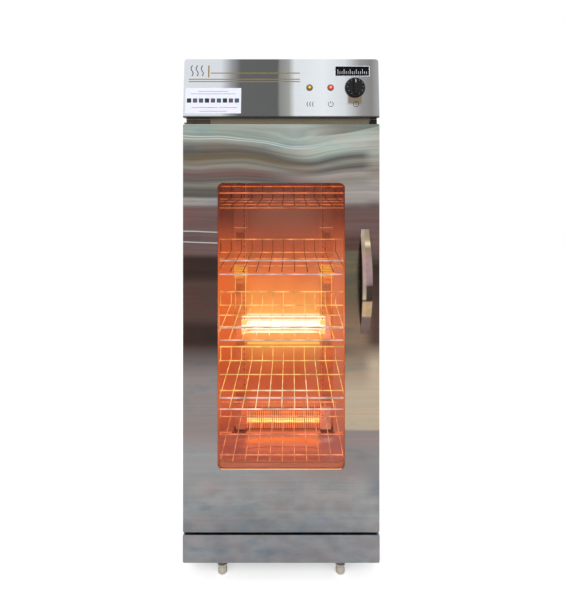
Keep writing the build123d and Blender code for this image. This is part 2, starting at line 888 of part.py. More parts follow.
def thermal_cutout():
    """Thermostat on the deck, with two blade terminals."""
    disc = extrude(RegularPolygon(cutout_radius, 12), cutout_height)
    blade = Box(cutout_blade_thickness, cutout_blade_width, cutout_blade_length)
    for x in (-cutout_blade_offset, cutout_blade_offset):
        disc += Pos(x, 0, cutout_height + cutout_blade_length / 2) * blade
    return Pos(cutout_shift, frame_face + cutout_setback, header_bottom + sheet) * disc


def terminal_block():
    """Terminal strip on the base, beside the gland, stepped up to its screws."""
    z = underside + sheet
    left, right = terminal_ledge, terminal_depth - terminal_ledge
    profile = Polyline(
        (0, 0), (terminal_depth, 0), (terminal_depth, terminal_step), (right, terminal_step),
        (right, terminal_height), (left, terminal_height), (left, terminal_step), (0, terminal_step),
        close=True,
    )
    strip_body = extrude(Plane.YZ * make_face(profile), terminal_length / 2, both=True)
    return Pos(gland_x, back_face - terminal_setback, z) * strip_body


# Feet


def foot_places():
    half = half_width - foot_inset
    ys = (front + foot_front_setback, back_face - foot_back_setback)
    return [(x, y) for y in ys for x in (-half, half)]


def frustum(low, high, low_radius, high_radius):
    """A many-sided band between two heights."""
    faces = [
        Pos(0, 0, z) * RegularPolygon(radius, foot_sides)
        for z, radius in ((low, low_radius), (high, high_radius))
    ]
    return loft(faces, ruled=True)


def levelling_foot(x, y):
    """Foot with a waist and a collar, and a stem that runs up through the base's nut."""
    collar = foot_pad_height - foot_collar_height
    foot = frustum(0, foot_toe_height, foot_pad_radius, foot_waist_radius)
    foot += frustum(foot_toe_height, collar, foot_waist_radius, foot_waist_radius)
    foot += frustum(collar, foot_pad_height, foot_radius, foot_radius)
    stem_height = foot_height + stem_rise - foot_pad_height
    foot += Pos(0, 0, foot_pad_height) * extrude(Circle(stem_radius - pin_clearance), stem_height)
    return Pos(x, y, 0) * foot


def all_pieces():
    left_side, right_side = side_panels()
    left_liner, right_liner = liner_sides()
    pieces = {
        "side_panel_left": left_side,
        "side_panel_right": right_side,
        "back_panel": back_panel(),
        "top_panel": top_panel(),
        "base_pan": base_pan(),
        "plinth_panel": plinth_panel(),
        "front_frame": front_frame(),
        "header_panel": header_panel(),
        "deck": deck(),
        "insulation": insulation(),
        "liner_left": left_liner,
        "liner_right": right_liner,
        "liner_back": liner_back(),
        "liner_ceiling": liner_ceiling(),
        "liner_floor": liner_floor(),
        "back_uprights": back_uprights(),
        "side_uprights": side_uprights(),
        "back_clips": back_clips(),
        "side_clips": side_clips(),
        "drip_tray": drip_tray(),
        "door_skin": door_skin(),
        "door_liner": door_liner(),
        "door_glass": door_glass(),
        "glass_gasket": glass_gasket(),
        "door_insulation": door_insulation(),
        "door_seal": door_seal(),
        "hinge_bushes": hinge_bushes(),
        "door_handle": door_handle(),
        "hinge_bracket_top": hinge_bracket_top(),
        "hinge_bracket_bottom": hinge_bracket_bottom(),
        "door_catch": door_catch(),
        "lamp_bezels": Compound([lamp_bezel(amber_lamp_x), lamp_bezel(red_lamp_x)]),
        "lamp_lens_amber": lamp_lens(amber_lamp_x),
        "lamp_lens_red": lamp_lens(red_lamp_x),
        "timer_knob": timer_knob(),
        "timer_body": timer_body(),
        "thermal_cutout": thermal_cutout(),
        "terminal_block": terminal_block(),
        "cord_gland": cord_gland(),
    }
    for name, height in zip(("upper", "lower"), heater_middles):
        pieces[f"reflector_{name}"] = reflector(height)
        pieces[f"quartz_tubes_{name}"] = quartz_tubes(height)
        pieces[f"tube_caps_{name}"] = tube_caps(height)
        pieces[f"filaments_{name}"] = filaments(height)
    for number, level in enumerate(rack_floors, 1):
        pieces[f"rack_{number}"] = rack(level)
    corners = ("front_left", "front_right", "back_left", "back_right")
    for name, (x, y) in zip(corners, foot_places()):
        pieces[f"foot_{name}"] = levelling_foot(x, y)
    return pieces


os.makedirs("parts", exist_ok=True)
for piece_name, solid in all_pieces().items():
    export_step(solid, f"parts/{piece_name}.step")
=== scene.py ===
import math

import bmesh
import bpy
from mathutils import Matrix, Vector


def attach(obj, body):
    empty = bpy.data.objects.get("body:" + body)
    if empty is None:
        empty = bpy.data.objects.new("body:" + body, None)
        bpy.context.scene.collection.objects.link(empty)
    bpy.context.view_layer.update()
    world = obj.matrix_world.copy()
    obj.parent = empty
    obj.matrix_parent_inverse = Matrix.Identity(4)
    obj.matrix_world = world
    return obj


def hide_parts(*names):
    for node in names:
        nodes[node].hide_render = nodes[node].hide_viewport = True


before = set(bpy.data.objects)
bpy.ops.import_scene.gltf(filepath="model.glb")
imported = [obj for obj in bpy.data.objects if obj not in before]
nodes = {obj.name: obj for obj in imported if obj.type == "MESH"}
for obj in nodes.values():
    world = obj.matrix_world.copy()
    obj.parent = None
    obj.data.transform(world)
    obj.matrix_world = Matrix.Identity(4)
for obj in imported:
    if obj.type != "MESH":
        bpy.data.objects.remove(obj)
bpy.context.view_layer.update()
print("frame loaded")

paints = {}  # every material by its name
black, white = (0, 0, 0, 1), (1, 1, 1, 1)


def linear(colour):
    # 0-255 screen colour to the values that sockets take
    shares = [value / 255 for value in colour]
    return tuple(s / 12.92 if s <= 0.04045 else ((s + 0.055) / 1.055) ** 2.4 for s in shares) + (1.0,)


def feed(entry, socket):
    # an output or a node is linked to the socket, a plain value is set on it, and (r, g, b) means 0-255 there
    if isinstance(entry, Field):
        entry = entry.socket
    if isinstance(entry, bpy.types.Node):
        entry = entry.outputs[0]
    if isinstance(entry, bpy.types.NodeSocket):
        socket.id_data.links.new(entry, socket)
    elif socket.type == "RGBA" and len(entry) == 3:
        socket.default_value = linear(entry)
    else:
        socket.default_value = entry


def addNode(tree, kind, inputs=(), **settings):
    node = tree.nodes.new(kind)
    for key, value in settings.items():
        setattr(node, key, value)
    for key, entry in dict(inputs).items():
        feed(entry, node.inputs[key])
    return node


def treeOf(entries):
    return next(entry.socket.id_data for entry in entries if isinstance(entry, Field))


class Field:
    # a shader output that is added, scaled and shaped like a number
    def __init__(self, socket):
        self.socket = socket

    def __add__(self, other):
        return mathNode("ADD", self, other)

    def __sub__(self, other):
        return mathNode("SUBTRACT", self, other)

    def __mul__(self, other):
        return mathNode("MULTIPLY", self, other)

    def __truediv__(self, other):
        return mathNode("DIVIDE", self, other)

    def __rtruediv__(self, other):
        return mathNode("DIVIDE", other, self)

    def __abs__(self):
        return mathNode("ABSOLUTE", self)

    def rescaled(self, before, after, kind="LINEAR"):
        inputs = dict(enumerate((self, *before, *after)))
        return Field(addNode(treeOf([self]), "ShaderNodeMapRange", inputs, interpolation_type=kind).outputs[0])

    def band(self, low, high):
        # 0 at low and 1 at high, with soft ends
        return self.rescaled((low, high), (0.0, 1.0), "SMOOTHSTEP")

    def within(self, low, high, soft=0.002):
        # 1 between low and high, with soft ends outside them
        return self.band(low - soft, low) * self.band(high + soft, high)

    def ramp(self, stops):
        node = addNode(treeOf([self]), "ShaderNodeValToRGB", {0: self})
        elements = node.color_ramp.elements
        while len(elements) < len(stops):
            elements.new(0.5)
        for element, (place, colour) in zip(elements, stops):
            element.position = place
            element.color = colour
        return Field(node.outputs[0])

    def tones(self, bands):
        # colours at real heights or widths in metres
        low, high = bands[0][0], bands[-1][0]
        place = self.rescaled((low, high), (0.0, 1.0))
        return place.ramp([((at - low) / (high - low), linear(tone)) for at, tone in bands])


def mathNode(operation, *entries, clamp=False):
    node = addNode(treeOf(entries), "ShaderNodeMath", dict(enumerate(entries)), operation=operation, use_clamp=clamp)
    return Field(node.outputs[0])


def vectorNode(operation, inputs, output=0):
    node = addNode(treeOf(inputs.values()), "ShaderNodeVectorMath", inputs, operation=operation)
    return Field(node.outputs[output])


def mix(factor, first, second, blend="MIX"):
    entries = {0: factor, 6: first, 7: second}
    node = addNode(treeOf(entries.values()), "ShaderNodeMix", entries, data_type="RGBA", blend_type=blend)
    return Field(node.outputs[2])


def noise(coords, scale, detail=2.0, roughness=0.5):
    entries = {"Vector": coords, "Scale": scale, "Detail": detail, "Roughness": roughness}
    return Field(addNode(treeOf([coords]), "ShaderNodeTexNoise", entries).outputs[0])


def combined(*parts):
    return Field(addNode(treeOf(parts), "ShaderNodeCombineXYZ", dict(enumerate(parts))).outputs[0])


def stretched(coords, *factors):
    return vectorNode("MULTIPLY", {0: coords, 1: factors})


def dimmed(tone, factor):
    return vectorNode("SCALE", {0: tone, "Scale": factor})


def blotched(tone, coords, scale, detail, after):
    # uneven light, from a soft noise
    return dimmed(tone, noise(coords, scale, detail).rescaled((0.3, 0.7), after))


def reflectedRoomSpots(coords):
    # painted reflection: uneven spots of the room on a polished sheet, mostly darker
    return noise(stretched(coords, 1.0, 1.0, 1.7), 17.0, 3.0)


def ripples(value, pitch):
    return mathNode("SINE", value * (2 * math.pi / pitch))


def objectPlace(owner):
    # object coordinates in the tree of a group or a node, whole and split into x, y and z
    coords = addNode(owner.id_data, "ShaderNodeTexCoord").outputs["Object"]
    split = addNode(owner.id_data, "ShaderNodeSeparateXYZ", {0: coords})
    return [Field(socket) for socket in (coords, *split.outputs)]


def startGroup(name, inputs, outputs, kind="Float"):
    group = bpy.data.node_groups.new(name, "ShaderNodeTree")
    for label, value in inputs.items():
        socket = group.interface.new_socket(name=label, in_out="INPUT", socket_type="NodeSocketFloat")
        socket.default_value = value
    for label in outputs:
        group.interface.new_socket(name=label, in_out="OUTPUT", socket_type="NodeSocket" + kind)
    start = {socket.name: Field(socket) for socket in addNode(group, "NodeGroupInput").outputs}
    return group, start, addNode(group, "NodeGroupOutput").inputs


def buildSheetGrain():
    # long fine scratches of rolled sheet, softly uneven gloss, and the sheet's slow waves
    group, start, end = startGroup(
        "sheetGrain", {"Grain Scale": 900.0, "Wave Scale": 3.0, "Roughness": 0.3, "Grain Depth": 0.2,
                       "Wave Depth": 1.0}, ("Roughness", "Height", "Streaks"))
    coords = objectPlace(group)[0]
    grain = noise(stretched(coords, 0.012, 0.012, 1.0), start["Grain Scale"], 3.0)
    wave = noise(coords, start["Wave Scale"], 1.0)
    smudge = noise(coords, 11.0, 4.0) * 0.10 - 0.05
    rough = mathNode("ADD", start["Roughness"] + smudge, grain * 0.08 - 0.04, clamp=True)
    feed(rough, end["Roughness"])
    feed(grain * start["Grain Depth"] + wave * start["Wave Depth"], end["Height"])
    feed(grain, end["Streaks"])
    return group


def buildFineWear():
    # small specks and dulled patches
    group, start, end = startGroup("fineWear", {"Scale": 60.0, "Amount": 0.5}, ("Specks", "Patches", "Height"))
    coords = objectPlace(group)[0]
    specks = noise(coords, start["Scale"], 5.0)
    feed(specks.band(0.56, 0.72) * start["Amount"], end["Specks"])
    feed(noise(coords, 7.0).band(0.42, 0.70) * start["Amount"], end["Patches"])
    feed(specks, end["Height"])
    return group


def buildRoomReflections():
    # painted reflection: soft cool and warm patches that a polished sheet shows of the room
    group, start, end = startGroup("roomReflections", {"Scale": 7.0, "Amount": 1.0}, ("Tint",), "Color")
    patches = noise(stretched(objectPlace(group)[0], 1.0, 1.0, 2.6), start["Scale"], 3.0)
    tint = patches.ramp([(0.30, (0.76, 0.88, 0.98, 1)), (0.42, (0.96, 1.0, 1.0, 1)),
                         (0.56, (1.0, 0.98, 0.97, 1)), (0.72, (1.10, 0.98, 0.95, 1))])
    feed(mix(start["Amount"], white, tint), end["Tint"])
    return group


glowPlaces = {"hotHalf": 0.12, "tubeY": 0.2337, "upper": 0.657, "lower": 0.260, "sideways": 2.2, "under": 1.25,
              "winding": 0.0095}


def buildHeaterGlow():
    # light of each pair of hot tubes: 1 at the tubes, and less with the distance, soonest sideways
    g = glowPlaces
    group, start, end = startGroup("heaterGlow", {"Upper Reach": 0.15, "Lower Reach": 0.06}, ("Upper", "Lower"))
    x, y, z = objectPlace(group)[1:]
    side = mathNode("MAXIMUM", abs(x) - g["hotHalf"], 0.0) * g["sideways"]
    for label in ("Upper", "Lower"):
        rise = z - g[label.lower()]
        rise = mathNode("MAXIMUM", rise, rise * -g["under"])
        away = vectorNode("LENGTH", {0: combined(side, y - g["tubeY"], rise)}, "Value")
        ratio = away / start[label + " Reach"]
        feed(mathNode("EXPONENT", ratio * ratio * -1.0), end[label])
    return group


sheetGrain, fineWear = buildSheetGrain(), buildFineWear()
roomReflections, heaterGlow = buildRoomReflections(), buildHeaterGlow()
print("shader groups built")


def newMaterial(name, colour, metallic=0.0, roughness=0.5, **sockets):
    paints[name] = material = bpy.data.materials.new(name)
    material.use_nodes = True
    shader = material.node_tree.nodes["Principled BSDF"]
    for key, value in {"Base Color": colour, "Metallic": metallic, "Roughness": roughness, **sockets}.items():
        feed(value, shader.inputs[key.replace("_", " ")])
    return shader


def useGroup(shader, group, **values):
    inputs = {key.replace("_", " "): value for key, value in values.items()}
    node = addNode(shader.id_data, "ShaderNodeGroup", inputs, node_tree=group)
    return {socket.name: Field(socket) for socket in node.outputs}


def addBump(shader, height, strength, distance):
    bump = {"Strength": strength, "Distance": distance, "Height": height}
    feed(addNode(shader.id_data, "ShaderNodeBump", bump), shader.inputs["Normal"])


def addGrain(shader, roughness, bump, distance=0.002, **values):
    # rolled grain in the gloss and the relief of a sheet
    grain = useGroup(shader, sheetGrain, Roughness=roughness, **values)
    feed(grain["Roughness"], shader.inputs["Roughness"])
    if bump:
        addBump(shader, grain["Height"], bump, distance)
    return grain


def paintWith(shader, tone):
    feed(tone, shader.inputs["Base Color"])


def shineWith(shader, tone, strength=1.0):
    feed(tone, shader.inputs["Emission Color"])
    feed(strength, shader.inputs["Emission Strength"])


def shineAsSteel(shader, tone, roughness, bump=0.2, strength=1.0):
    # the heaters' light on dull steel, as a soft glow of its own
    shineWith(shader, tone, strength)
    addGrain(shader, roughness, bump, 0.001, Grain_Scale=500.0, Grain_Depth=0.3)


def steelMaterial(name, colour, roughness, grain, wave, grainScale=900.0, tone=0.06, patches=0.0):
    shader = newMaterial(name, colour, 1.0, roughness)
    streaks = addGrain(shader, roughness, 0.25, Grain_Scale=grainScale, Wave_Scale=2.6, Grain_Depth=grain,
                       Wave_Depth=wave)["Streaks"]
    dark = tuple(value * (1 - 2 * tone) for value in linear(colour)[:3]) + (1.0,)
    light = tuple(min(1.0, value * (1 + tone)) for value in linear(colour)[:3]) + (1.0,)
    shade = mix(streaks, dark, light)
    # painted reflections of the room on the sheet: cool and warm patches and darker spots
    if patches:
        shade = mix(1.0, shade, useGroup(shader, roomReflections, Scale=9.0, Amount=patches)["Tint"], "MULTIPLY")
        shade = dimmed(shade, reflectedRoomSpots(objectPlace(shader)[0]).rescaled((0.34, 0.64), (0.86, 1.06)))
    paintWith(shader, shade)


windowShape = {"halfX": 0.210, "halfZ": 0.4735, "middleZ": 0.8425, "corner": 0.018}

reflectedRoomTones = {
    # painted reflections: what the polished door shows of a room
    "coolFloor": (142, 145, 149), "paleFloor": (160, 159, 160), "warmFloor": (146, 137, 135),
    "tanWall": (190, 172, 150), "brownWall": (138, 114, 96), "oliveWall": (112, 100, 82),
    "roseWall": (112, 90, 88), "paleWall": (160, 152, 148),
    "greyWall": (98, 94, 90), "mossWall": (138, 134, 126), "dusk": (90, 70, 65), "dark": (64, 50, 46),
    "light": (178, 184, 176), "sky": (152, 163, 155), "glint": (216, 219, 212),
}
doorLook = {
    # painted broad reflections by height in m: beside the hinges, beside the handle, and along the free edge
    "left": [(0.161, "coolFloor"), (0.25, "paleFloor"), (0.42, "paleFloor"), (0.50, "warmFloor"), (0.67, "warmFloor"),
             (0.785, "dark"), (0.84, "dark"), (0.87, "dusk"), (0.985, "dusk"), (1.01, "dark"), (1.07, "dark"),
             (1.085, "roseWall"), (1.235, "roseWall"), (1.245, "paleWall"), (1.266, "paleWall"), (1.272, "greyWall"),
             (1.300, "greyWall"), (1.318, "mossWall"), (1.335, "greyWall"), (1.360, "roseWall"), (1.385, "mossWall"),
             (1.405, "oliveWall"), (1.430, "greyWall"), (1.448, "mossWall"), (1.468, "sky"), (1.511, "sky")],
    "right": [(0.161, "coolFloor"), (0.20, "paleFloor"), (0.30, "paleFloor"), (0.40, "warmFloor"), (0.498, "warmFloor"),
              (0.504, "tanWall"), (0.62, "tanWall"), (0.76, "brownWall"), (0.85, "brownWall"), (0.93, "oliveWall"),
              (1.083, "oliveWall"), (1.097, "dusk"), (1.13, "dusk"), (1.16, "roseWall"), (1.235, "roseWall"),
              (1.26, "paleWall"), (1.31, "paleWall"), (1.33, "mossWall"), (1.362, "paleWall"), (1.380, "greyWall"),
              (1.398, "mossWall"), (1.416, "greyWall"), (1.434, "sky"), (1.448, "light"), (1.511, "light")],
    "edge": [(0.161, "paleFloor"), (0.27, "paleFloor"), (0.285, "coolFloor"), (0.498, "warmFloor"), (0.504, "tanWall"),
             (0.72, "tanWall"), (0.79, "dusk"), (0.90, "dusk"), (1.04, "dark"), (1.095, "roseWall"), (1.24, "roseWall"),
             (1.27, "paleWall"), (1.32, "paleWall"), (1.36, "mossWall"), (1.480, "light"), (1.511, "sky")],
    # painted highlights, thin bright lines across the hinge side: height and half width
    "lines": [(1.121, 0.0030), (1.157, 0.0034), (1.4645, 0.0020), (1.4715, 0.0022), (1.508, 0.0018)],
    # the sheet sags: the bands dip between the middle and the handle side
    "dip": 0.044, "dipMiddle": 0.062, "dipReach": 0.135, "low": 0.161, "high": 1.511,
    # painted reflection: a darker corner at the top right, above a line that curves up to the free edge
    "corner": (112, 116, 108), "cornerX": 0.062, "cornerZ": 1.468, "cornerCurve": 0.52,
    # the waves grow from the lower half to the top
    "calm": 0.010, "lively": 0.020, "topLively": 0.028, "livelyZ": (0.90, 1.12), "topZ": (1.22, 1.40), "pinnedZ": 1.45,
    # where the hinge side turns into the handle side, and that into the free edge
    "across": (-0.10, 0.17), "edgeX": (0.262, 0.312),
    # painted glow on the heater-lit lower lip of the window
    "lipZ": 0.369, "lipTone": (222, 172, 120),
}


def doorMaterial():
    d = doorLook
    shader = newMaterial("polishedDoorSheet", (150, 145, 140), 1.0, 0.24)
    coords, x, y, z = objectPlace(shader)

    # slow waves of the sheet, long across and short in height, pinned along the top edge
    wave = noise(stretched(coords, 1.0, 1.0, 2.0), 3.0, 2.0, 0.4) - 0.5
    zone = z.band(*d["topZ"]) * z.band(d["high"], d["pinnedZ"])
    upper = z.band(*d["livelyZ"])
    aside = (x - d["dipMiddle"]) / d["dipReach"]
    dip = d["dip"] / (aside * aside + 1.0) * zone
    amount = zone * d["topLively"] + (upper * d["lively"] + d["calm"])
    height = wave * amount + z + dip

    # painted reflections of the room in bands by height, beside the hinges, beside the handle and on the free edge
    left, right, edge = [height.tones([(at, reflectedRoomTones[tone]) for at, tone in d[side]])
                         for side in ("left", "right", "edge")]
    # painted highlights: thin bright reflected lines
    for at, half in d["lines"]:
        left = mix(abs(height - at).band(half, 0.0) * 0.8, left, reflectedRoomTones["glint"])
    tone = mix((wave * 0.16 + x).band(*d["across"]), left, right)
    tone = mix(x.band(*d["edgeX"]), tone, edge)
    # painted reflection: a darker corner at the top right
    past = x - d["cornerX"]
    above = z - (past * past * d["cornerCurve"] + d["cornerZ"])
    tone = mix(above.band(-0.001, 0.003) * past.band(-0.03, 0.16) * 0.8, tone, d["corner"])

    # painted reflection: long fine ripples, calmer in the lower half, finer ones high up, and spots of the room low
    # down
    flat = combined(x * 1.1, height * 62.0, height * 26.0)
    ripple = noise(flat, 2.0, 5.0, 0.62).rescaled((0.32, 0.68), (0.86, 1.15)) - 1.0
    fine = noise(flat, 1.6, 3.0).rescaled((0.3, 0.7), (-0.16, 0.16))
    spots = reflectedRoomSpots(coords).rescaled((0.34, 0.64), (-0.13, 0.06))
    light = ripple * (upper * 0.65 + 0.35) + fine * z.band(1.05, 1.36) + spots * z.band(0.42, 0.26) + 1.0
    # painted cool and warm reflections of the room
    tone = mix(1.0, tone, useGroup(shader, roomReflections, Scale=7.0)["Tint"], "MULTIPLY")
    paintWith(shader, dimmed(tone, light))

    # painted glow where the heaters light the lower lip of the window
    lip = z.within(d["lipZ"] - 0.003, d["lipZ"] + 0.001, 0.001) * y.band(-0.2494, -0.2480)
    shineWith(shader, mix(lip * abs(x).band(0.212, 0.206), black, d["lipTone"]))
    addGrain(shader, 0.24, 0.3, 0.003, Grain_Scale=700.0, Wave_Scale=2.2, Grain_Depth=0.15, Wave_Depth=1.0)


headerLook = {
    # painted reflection: tone of the control panel across it, with a sharp change at the end of the dark stretch
    "across": [(-0.325, (218, 223, 229)), (-0.20, (216, 221, 227)), (-0.165, (150, 152, 155)), (-0.135, (98, 99, 99)),
               (-0.012, (96, 98, 98)), (-0.004, (136, 138, 136)), (0.026, (158, 160, 156)), (0.046, (220, 225, 229)),
               (0.14, (230, 235, 239)), (0.21, (214, 219, 224)), (0.265, (150, 149, 148)), (0.30, (136, 134, 132)),
               (0.325, (168, 168, 171))],
    # painted shade along the panel's lower edge, and the painted patch under the knob
    "lip": {"z": (1.5345, 1.5395), "tone": (62, 58, 58)},
    "patch": {"x": 0.244, "half": 0.023, "low": 1.578, "high": 1.632, "tone": (130, 115, 92)},
}


def headerMaterial():
    shader = newMaterial("controlPanelSheet", (190, 194, 196), 1.0, 0.28)
    coords, x, _, z = objectPlace(shader)
    tone = ((noise(coords, 6.0) - 0.5) * 0.012 + x).tones(headerLook["across"])
    lip, p = headerLook["lip"], headerLook["patch"]
    # painted shade along the lower edge
    tone = mix(z.band(*lip["z"]), lip["tone"], tone)
    # painted patch of the knob's shadow and reflection on the sheet below it
    under = abs(x - p["x"]).band(p["half"] + 0.004, p["half"] - 0.004)
    under = under * z.band(p["low"] - 0.006, p["low"] + 0.006) * z.band(p["high"] + 0.008, p["high"] - 0.008)
    tone = mix(under * 0.9, tone, p["tone"])
    streaks = addGrain(shader, 0.28, 0.2, Grain_Scale=800.0, Grain_Depth=0.2)["Streaks"]
    paintWith(shader, dimmed(tone, streaks.rescaled((0.0, 1.0), (0.95, 1.05))))


cavityLook = {
    # painted light: tone of the heater-lit lining by height in m, without the tubes' own glow
    "levels": [(0.10, (150, 80, 58)), (0.20, (160, 74, 50)), (0.31, (204, 94, 56)), (0.45, (182, 78, 44)),
               (0.62, (214, 94, 42)), (0.86, (214, 100, 46)), (1.00, (176, 78, 42)), (1.06, (150, 70, 44)),
               (1.14, (104, 50, 36)), (1.24, (96, 44, 34)), (1.49, (70, 34, 30))],
    # painted light: a duller tone between the strips high up
    "middle": (138, 80, 62), "middleShare": 0.4, "middleHalf": (0.10, 0.19), "middleFrom": (1.02, 1.14),
    "middleTo": (1.285, 1.205),
    # painted shade in the lower corners beside the tray
    "corner": {"low": 0.190, "high": 0.216, "inner": 0.166, "outer": 0.218, "tone": (58, 28, 24), "share": 0.85},
    "upper": (255, 181, 89), "lower": (250, 152, 96),
    # painted pale reflection on the upper right
    "pale": (206, 150, 128), "paleShare": 0.28, "paleX": (0.05, 0.25), "paleZ": (1.1, 0.9),
    # lines of light that the upper heater throws on the back sheet below and above it
    "lips": ({"z": 0.5770, "half": 0.0080, "halfX": 0.180, "tone": (255, 204, 84)},
             {"z": 0.7010, "half": 0.0120, "halfX": 0.205, "tone": (255, 254, 226)}),
}


def heated(shader, tone, upper, lower):
    # the glow of the hot tubes over a tone
    glow = useGroup(shader, heaterGlow)
    tone = mix(glow["Upper"] * upper, tone, cavityLook["upper"])
    return mix(glow["Lower"] * lower, tone, cavityLook["lower"])


def litMaterial(name, base, metallic, roughness, level=1.0, upper=0.9, lower=0.5, isLining=False):
    # steel inside the cavity: its own colour, and the heaters' light on it as a soft glow
    look = cavityLook
    shader = newMaterial(name, base, metallic, roughness)
    coords, x, _, z = objectPlace(shader)
    side = abs(x)
    pale = x.band(*look["paleX"]) * z.band(*look["paleZ"]) * look["paleShare"]
    tone = mix(pale, z.tones(look["levels"]), look["pale"])
    inner, outer = look["middleHalf"]
    middle = side.band(outer, inner) * z.band(*look["middleFrom"]) * z.band(*look["middleTo"])
    tone = heated(shader, mix(middle * look["middleShare"], tone, look["middle"]), upper, lower)
    if isLining:
        for line in look["lips"]:
            reach = side.band(line["halfX"], line["halfX"] - 0.01)
            tone = mix(abs(z - line["z"]).band(line["half"], 0.0) * reach, tone, line["tone"])
        # painted shade in the lower corners
        c = look["corner"]
        shade = side.within(c["inner"], c["outer"], 0.006) * z.within(c["low"], c["high"], 0.004)
        tone = mix(shade * c["share"], tone, c["tone"])
    shineAsSteel(shader, blotched(tone, coords, 6.0, 4.0, (0.86, 1.12)), roughness, 0.2, level)


uprightLook = {
    # painted light that the upper heater throws on the two strips: a bright patch, thin rungs and lit edges, and
    # painted shade at their feet
    "middle": 0.1915, "patch": (0.874, 0.926), "patchTone": (255, 184, 62), "rungStep": 0.0114,
    "rungs": (0.853, 1.094), "rungTone": (240, 152, 92), "edgeFrom": 0.0208, "edgeTo": 0.0250, "edge": (0.745, 0.870),
    "edgeTone": (255, 190, 84), "face": (150, 70, 44), "foot": (0.203, 0.2075), "footShade": (92, 40, 32),
}


def uprightMaterial():
    u = uprightLook
    shader = newMaterial("uprightSteel", (110, 82, 70), 0.7, 0.34)
    coords, x, _, z = objectPlace(shader)
    tone = mix(0.14, heated(shader, z.tones(cavityLook["levels"]), 0.7, 0.35), u["face"])
    stripes = ripples(z, u["rungStep"]).rescaled((-1.0, 1.0), (0.30, 0.75))
    tone = mix(z.within(*u["patch"], 0.008) * stripes, tone, u["patchTone"])
    for height in u["rungs"]:
        tone = mix(z.within(height - 0.001, height + 0.001) * 0.5, tone, u["rungTone"])
    edge = abs(abs(x) - u["middle"]).within(u["edgeFrom"], u["edgeTo"], 0.001) * z.within(*u["edge"], 0.02)
    tone = mix(edge * 0.6, tone, u["edgeTone"])
    # painted shade at the strips' feet
    tone = mix(z.band(u["foot"][1], u["foot"][0]), tone, u["footShade"])
    shineAsSteel(shader, blotched(tone, coords, 30.0, 4.0, (0.80, 1.14)), 0.34)


trayLook = {
    # painted reflection: the floor of the tray mirrors the lower heater in a bowed band, with a thin dark line in front
    # of it; painted glint and rim light, with painted shade at the rim's ends
    "floor": (156, 84, 70), "warm": (186, 98, 74), "band": (255, 118, 58), "bandY": 0.176, "bandHalf": 0.021,
    "bandHalfX": 0.160, "bow": 0.45, "line": (150, 44, 38), "lineY": 0.130, "lineHalf": 0.0035,
    "pale": (206, 172, 164), "rim": (240, 120, 80), "rimEnds": (112, 48, 38), "rimFrom": 0.1990,
    "mirror": (226, 122, 92), "mirrorX": (0.175, 0.135), "mirrorY": (0.06, 0.15), "side": (160, 102, 96),
    "sideX": (0.13, 0.19), "paleX": (0.150, 0.200), "paleY": (0.166, 0.184), "rimEndsX": (0.166, 0.222),
}


def trayMaterial():
    k = trayLook
    shader = newMaterial("traySteel", (120, 88, 80), 0.9, 0.24)
    coords, x, y, z = objectPlace(shader)
    side = abs(x)
    streaks = noise(stretched(coords, 1.0, 3.4, 1.0), 9.0, 4.0, 0.6)
    tone = mix(streaks.band(0.38, 0.62), k["floor"], k["warm"])
    # painted reflection of the lit cavity on the tray floor
    mirror = side.band(*k["mirrorX"]) * y.band(*k["mirrorY"]) * streaks.rescaled((0.3, 0.6), (0.5, 1.0))
    tone = mix(mirror, tone, k["mirror"])
    tone = mix(x.band(*k["sideX"]) * 0.7, tone, k["side"])
    # painted reflection of the lower heater as a bowed band, with a thin dark line in front of it
    bowed = x * x * k["bow"] + y + streaks * 0.012 - 0.006
    reach = side.band(k["bandHalfX"] + 0.012, k["bandHalfX"] - 0.02)
    hot = abs(bowed - k["bandY"]).band(k["bandHalf"], 0.006) * reach * streaks.rescaled((0.35, 0.6), (0.85, 1.0))
    tone = mix(hot, tone, k["band"])
    tone = mix(abs(bowed - k["lineY"]).band(k["lineHalf"], 0.0) * reach * 0.9, tone, k["line"])
    # painted pale glint
    glint = x.within(*k["paleX"], 0.02) * y.within(*k["paleY"], 0.01)
    tone = mix(glint * streaks.rescaled((0.4, 0.65), (0.1, 0.6)), tone, k["pale"])
    # painted light on the rim, and painted shade at its ends
    rim = mix(side.within(*k["rimEndsX"], 0.006), k["rim"], k["rimEnds"])
    tone = mix(z.band(k["rimFrom"], k["rimFrom"] + 0.002), tone, rim)
    shineAsSteel(shader, tone, 0.24, 0.2, 0.82)


def liningBeside(z):
    # painted light: tone of the lining seen beside a point of the window's channel, which stands nearer to the room
    return (z * 1.333 - 0.4607).tones(cavityLook["levels"])


# painted light on the sill of the window's channel
sillLook = {"tone": (172, 96, 74), "top": 0.010, "full": 0.003}


def revealMaterial():
    # channel of the window, painted with the heaters' light: it takes the tone of the lining beside it, and of the tray
    # at the bottom
    shader = newMaterial("windowReveal", (64, 44, 38), 0.6, 0.42)
    coords, _, _, z = objectPlace(shader)
    bottom = windowShape["middleZ"] - windowShape["halfZ"]
    sill = z.band(bottom + sillLook["top"], bottom + sillLook["full"])
    tone = mix(sill, dimmed(liningBeside(z), 0.92), sillLook["tone"])
    shineAsSteel(shader, blotched(tone, stretched(coords, 1.0, 4.0, 1.0), 16.0, 3.0, (0.86, 1.1)), 0.42, 0.0)


